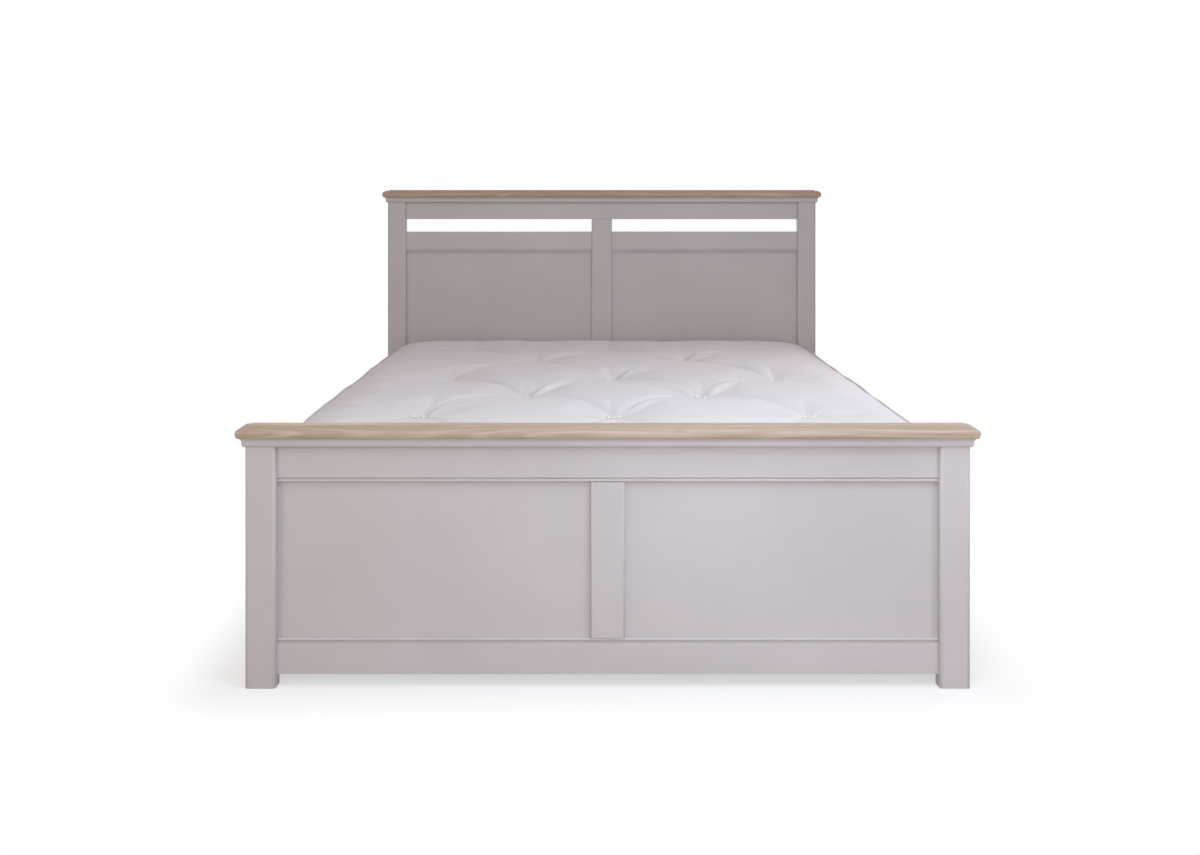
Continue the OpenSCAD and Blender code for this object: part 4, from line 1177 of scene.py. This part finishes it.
@dataclass(frozen=True)
class Lamp:
    """A square soft lamp.

    It has a place, a point that it faces, the length of its side, its watts by channel, and the
    angle of its whole cone in degrees.
    """

    name: str
    place: Triple
    aim: Triple
    size: float
    watts: Triple
    cone: float = 180.0

    def hang(self) -> None:
        """Makes the lamp. Its power is the strongest channel's, its colour their shares of it."""
        data = bpy.data.lights.new(self.name, "AREA")
        data.energy = max(self.watts)
        data.size = self.size
        data.spread = math.radians(self.cone)
        data.color = [channel / data.energy for channel in self.watts]
        lamp = bpy.data.objects.new(self.name, data)
        lamp.location = self.place
        towards = Vector(self.aim) - Vector(self.place)
        lamp.rotation_euler = towards.to_track_quat("-Z", "Y").to_euler()
        lamp.visible_camera = False
        bpy.context.scene.collection.objects.link(lamp)


LAMPS = (
    Lamp("front_lamp", (-0.6, -4.2, 1.7), (0.0, -1.0, 0.4), 1.4, (22.4, 20.8, 16.0)),
    Lamp("low_lamp", (0.3, -2.6, 0.12), (0.2, -1.06, 0.15), 0.8, (6.5, 6.8, 8.8)),
    Lamp("overhead_lamp", (0.5, -1.7, 1.7), (0.1, -0.7, 0.5), 0.9, (9.8, 12.6, 14.8)),
    Lamp("right_lamp", (2.2, 0.4, 1.4), (0.0, -0.6, 0.5), 0.5, (4.2, 4.2, 4.3), 80.0),
    Lamp("leg_lamp", (1.5, -2.1, 0.6), (0.7, -1.05, 0.35), 0.6, (3.8, 3.8, 4.4)),
    Lamp("left_lamp", (-1.9, -2.6, 0.9), (-0.6, -1.0, 0.35), 0.8, (8.2, 8.2, 8.4)),
    Lamp("rear_lamp", (-1.0, 4.0, 1.1), (0.0, 1.0, 0.6), 1.6, (24.0, 24.0, 24.0)),
)


@dataclass
class Studio:
    """A pale floor, a white surround, soft lamps and the camera of the photograph."""

    eye: Triple = (-0.032, -4.0606, 1.081)
    lens: float = 40.78
    shift: Pair = (0.0057, -0.191)
    fill: Triple = (0.390, 0.330, 0.320)
    floor_half: float = 14.0
    shadow_half: Pair = (0.80, 1.06)
    fade: Pair = (0.0, 0.22)
    shadow_share: float = 0.42

    def build(self) -> None:
        """Sets up the camera, the lamps, the floor, the world and the view."""
        self.camera()
        for lamp in LAMPS:
            lamp.hang()
        self.floor()
        self.world()
        bpy.context.scene.view_settings.view_transform = "Standard"
        LOG.info("the studio is set")

    def camera(self) -> None:
        """Puts the camera level at the photograph's eye point, with the frame shifted down."""
        data = bpy.data.cameras.new("camera")
        data.lens = self.lens
        data.sensor_width = 36.0
        data.sensor_fit = "HORIZONTAL"
        data.shift_x, data.shift_y = self.shift
        data.clip_end = 60.0
        camera = bpy.data.objects.new("camera", data)
        camera.location = self.eye
        camera.rotation_euler = (math.radians(90), 0.0, 0.0)
        bpy.context.scene.collection.objects.link(camera)
        bpy.context.scene.camera = camera

    def floor(self) -> None:
        """Lays the floor: pale near the bed, where it takes the shadow, and white further out.

        The white sets in with the distance outside the bed's own rectangle: the length of the
        vector of the parts by which |x| and |y| pass its half sizes.
        """
        near, far = self.fade
        unit = np.array([[-1, -1, 0], [1, -1, 0], [1, 1, 0], [-1, 1, 0]], float)
        floor = mesh_object("floor", unit * self.floor_half, [[0, 1, 2, 3]])
        graph = Graph("studio_floor")
        split = graph.add("SeparateXYZ", {0: graph.place()})
        beyond = []
        for axis, reach in enumerate(self.shadow_half):
            distance = graph.maths("SUBTRACT", graph.maths("ABSOLUTE", split.outputs[axis]), reach)
            beyond.append(graph.maths("MAXIMUM", distance, 0.0))
        squares = graph.maths("ADD", graph.maths("MULTIPLY", beyond[0], beyond[0]),
                              graph.maths("MULTIPLY", beyond[1], beyond[1]))
        fade = graph.add("MapRange", {"Value": graph.maths("SQRT", squares), "From Min": near,
                                      "From Max": far, "To Min": 1.0 - self.shadow_share},
                         interpolation_type="SMOOTHSTEP").outputs[0]
        pale = graph.add("BsdfDiffuse", {"Color": (0.96, 0.96, 0.96, 1.0)})
        white = graph.add("Emission", {"Color": WHITE, "Strength": 1.0})
        bounce = graph.add("BsdfDiffuse", {"Color": (0.42, 0.40, 0.39, 1.0)})
        shown = graph.add("MixShader", {0: fade, 1: pale.outputs[0], 2: white.outputs[0]})
        either = graph.add("MixShader", {0: graph.seen(), 1: bounce.outputs[0],
                                         2: shown.outputs[0]})
        graph.tree.nodes.remove(graph.shader)
        graph.put(graph.output, {"Surface": either.outputs[0]})
        floor.data.materials.append(graph.material)

    def world(self) -> None:
        """Surrounds the bed with white for the camera and a weaker warm light for the object."""
        world = bpy.data.worlds.new("studio")
        bpy.context.scene.world = world
        world.use_nodes = True
        nodes = Nodes(world.node_tree)
        lit = nodes.add("Background", {"Color": (*self.fill, 1.0), "Strength": 1.0})
        white = nodes.add("Background", {"Color": WHITE, "Strength": 1.0})
        mixed = nodes.add("MixShader", {0: nodes.seen(), 1: lit.outputs[0], 2: white.outputs[0]})
        nodes.add("OutputWorld", {"Surface": mixed.outputs[0]})


def main() -> None:
    """Builds and dresses every sub-assembly, then the studio."""
    finishes = Finishes()
    for assembly in (Headboard(finishes), Footboard(finishes), StorageBase(finishes),
                     Platform(finishes), LiftMechanism(finishes), Mattress(finishes), Studio()):
        assembly.build()
        LOG.info("%s is done", type(assembly).__name__)


if __name__ == "__main__":
    main()
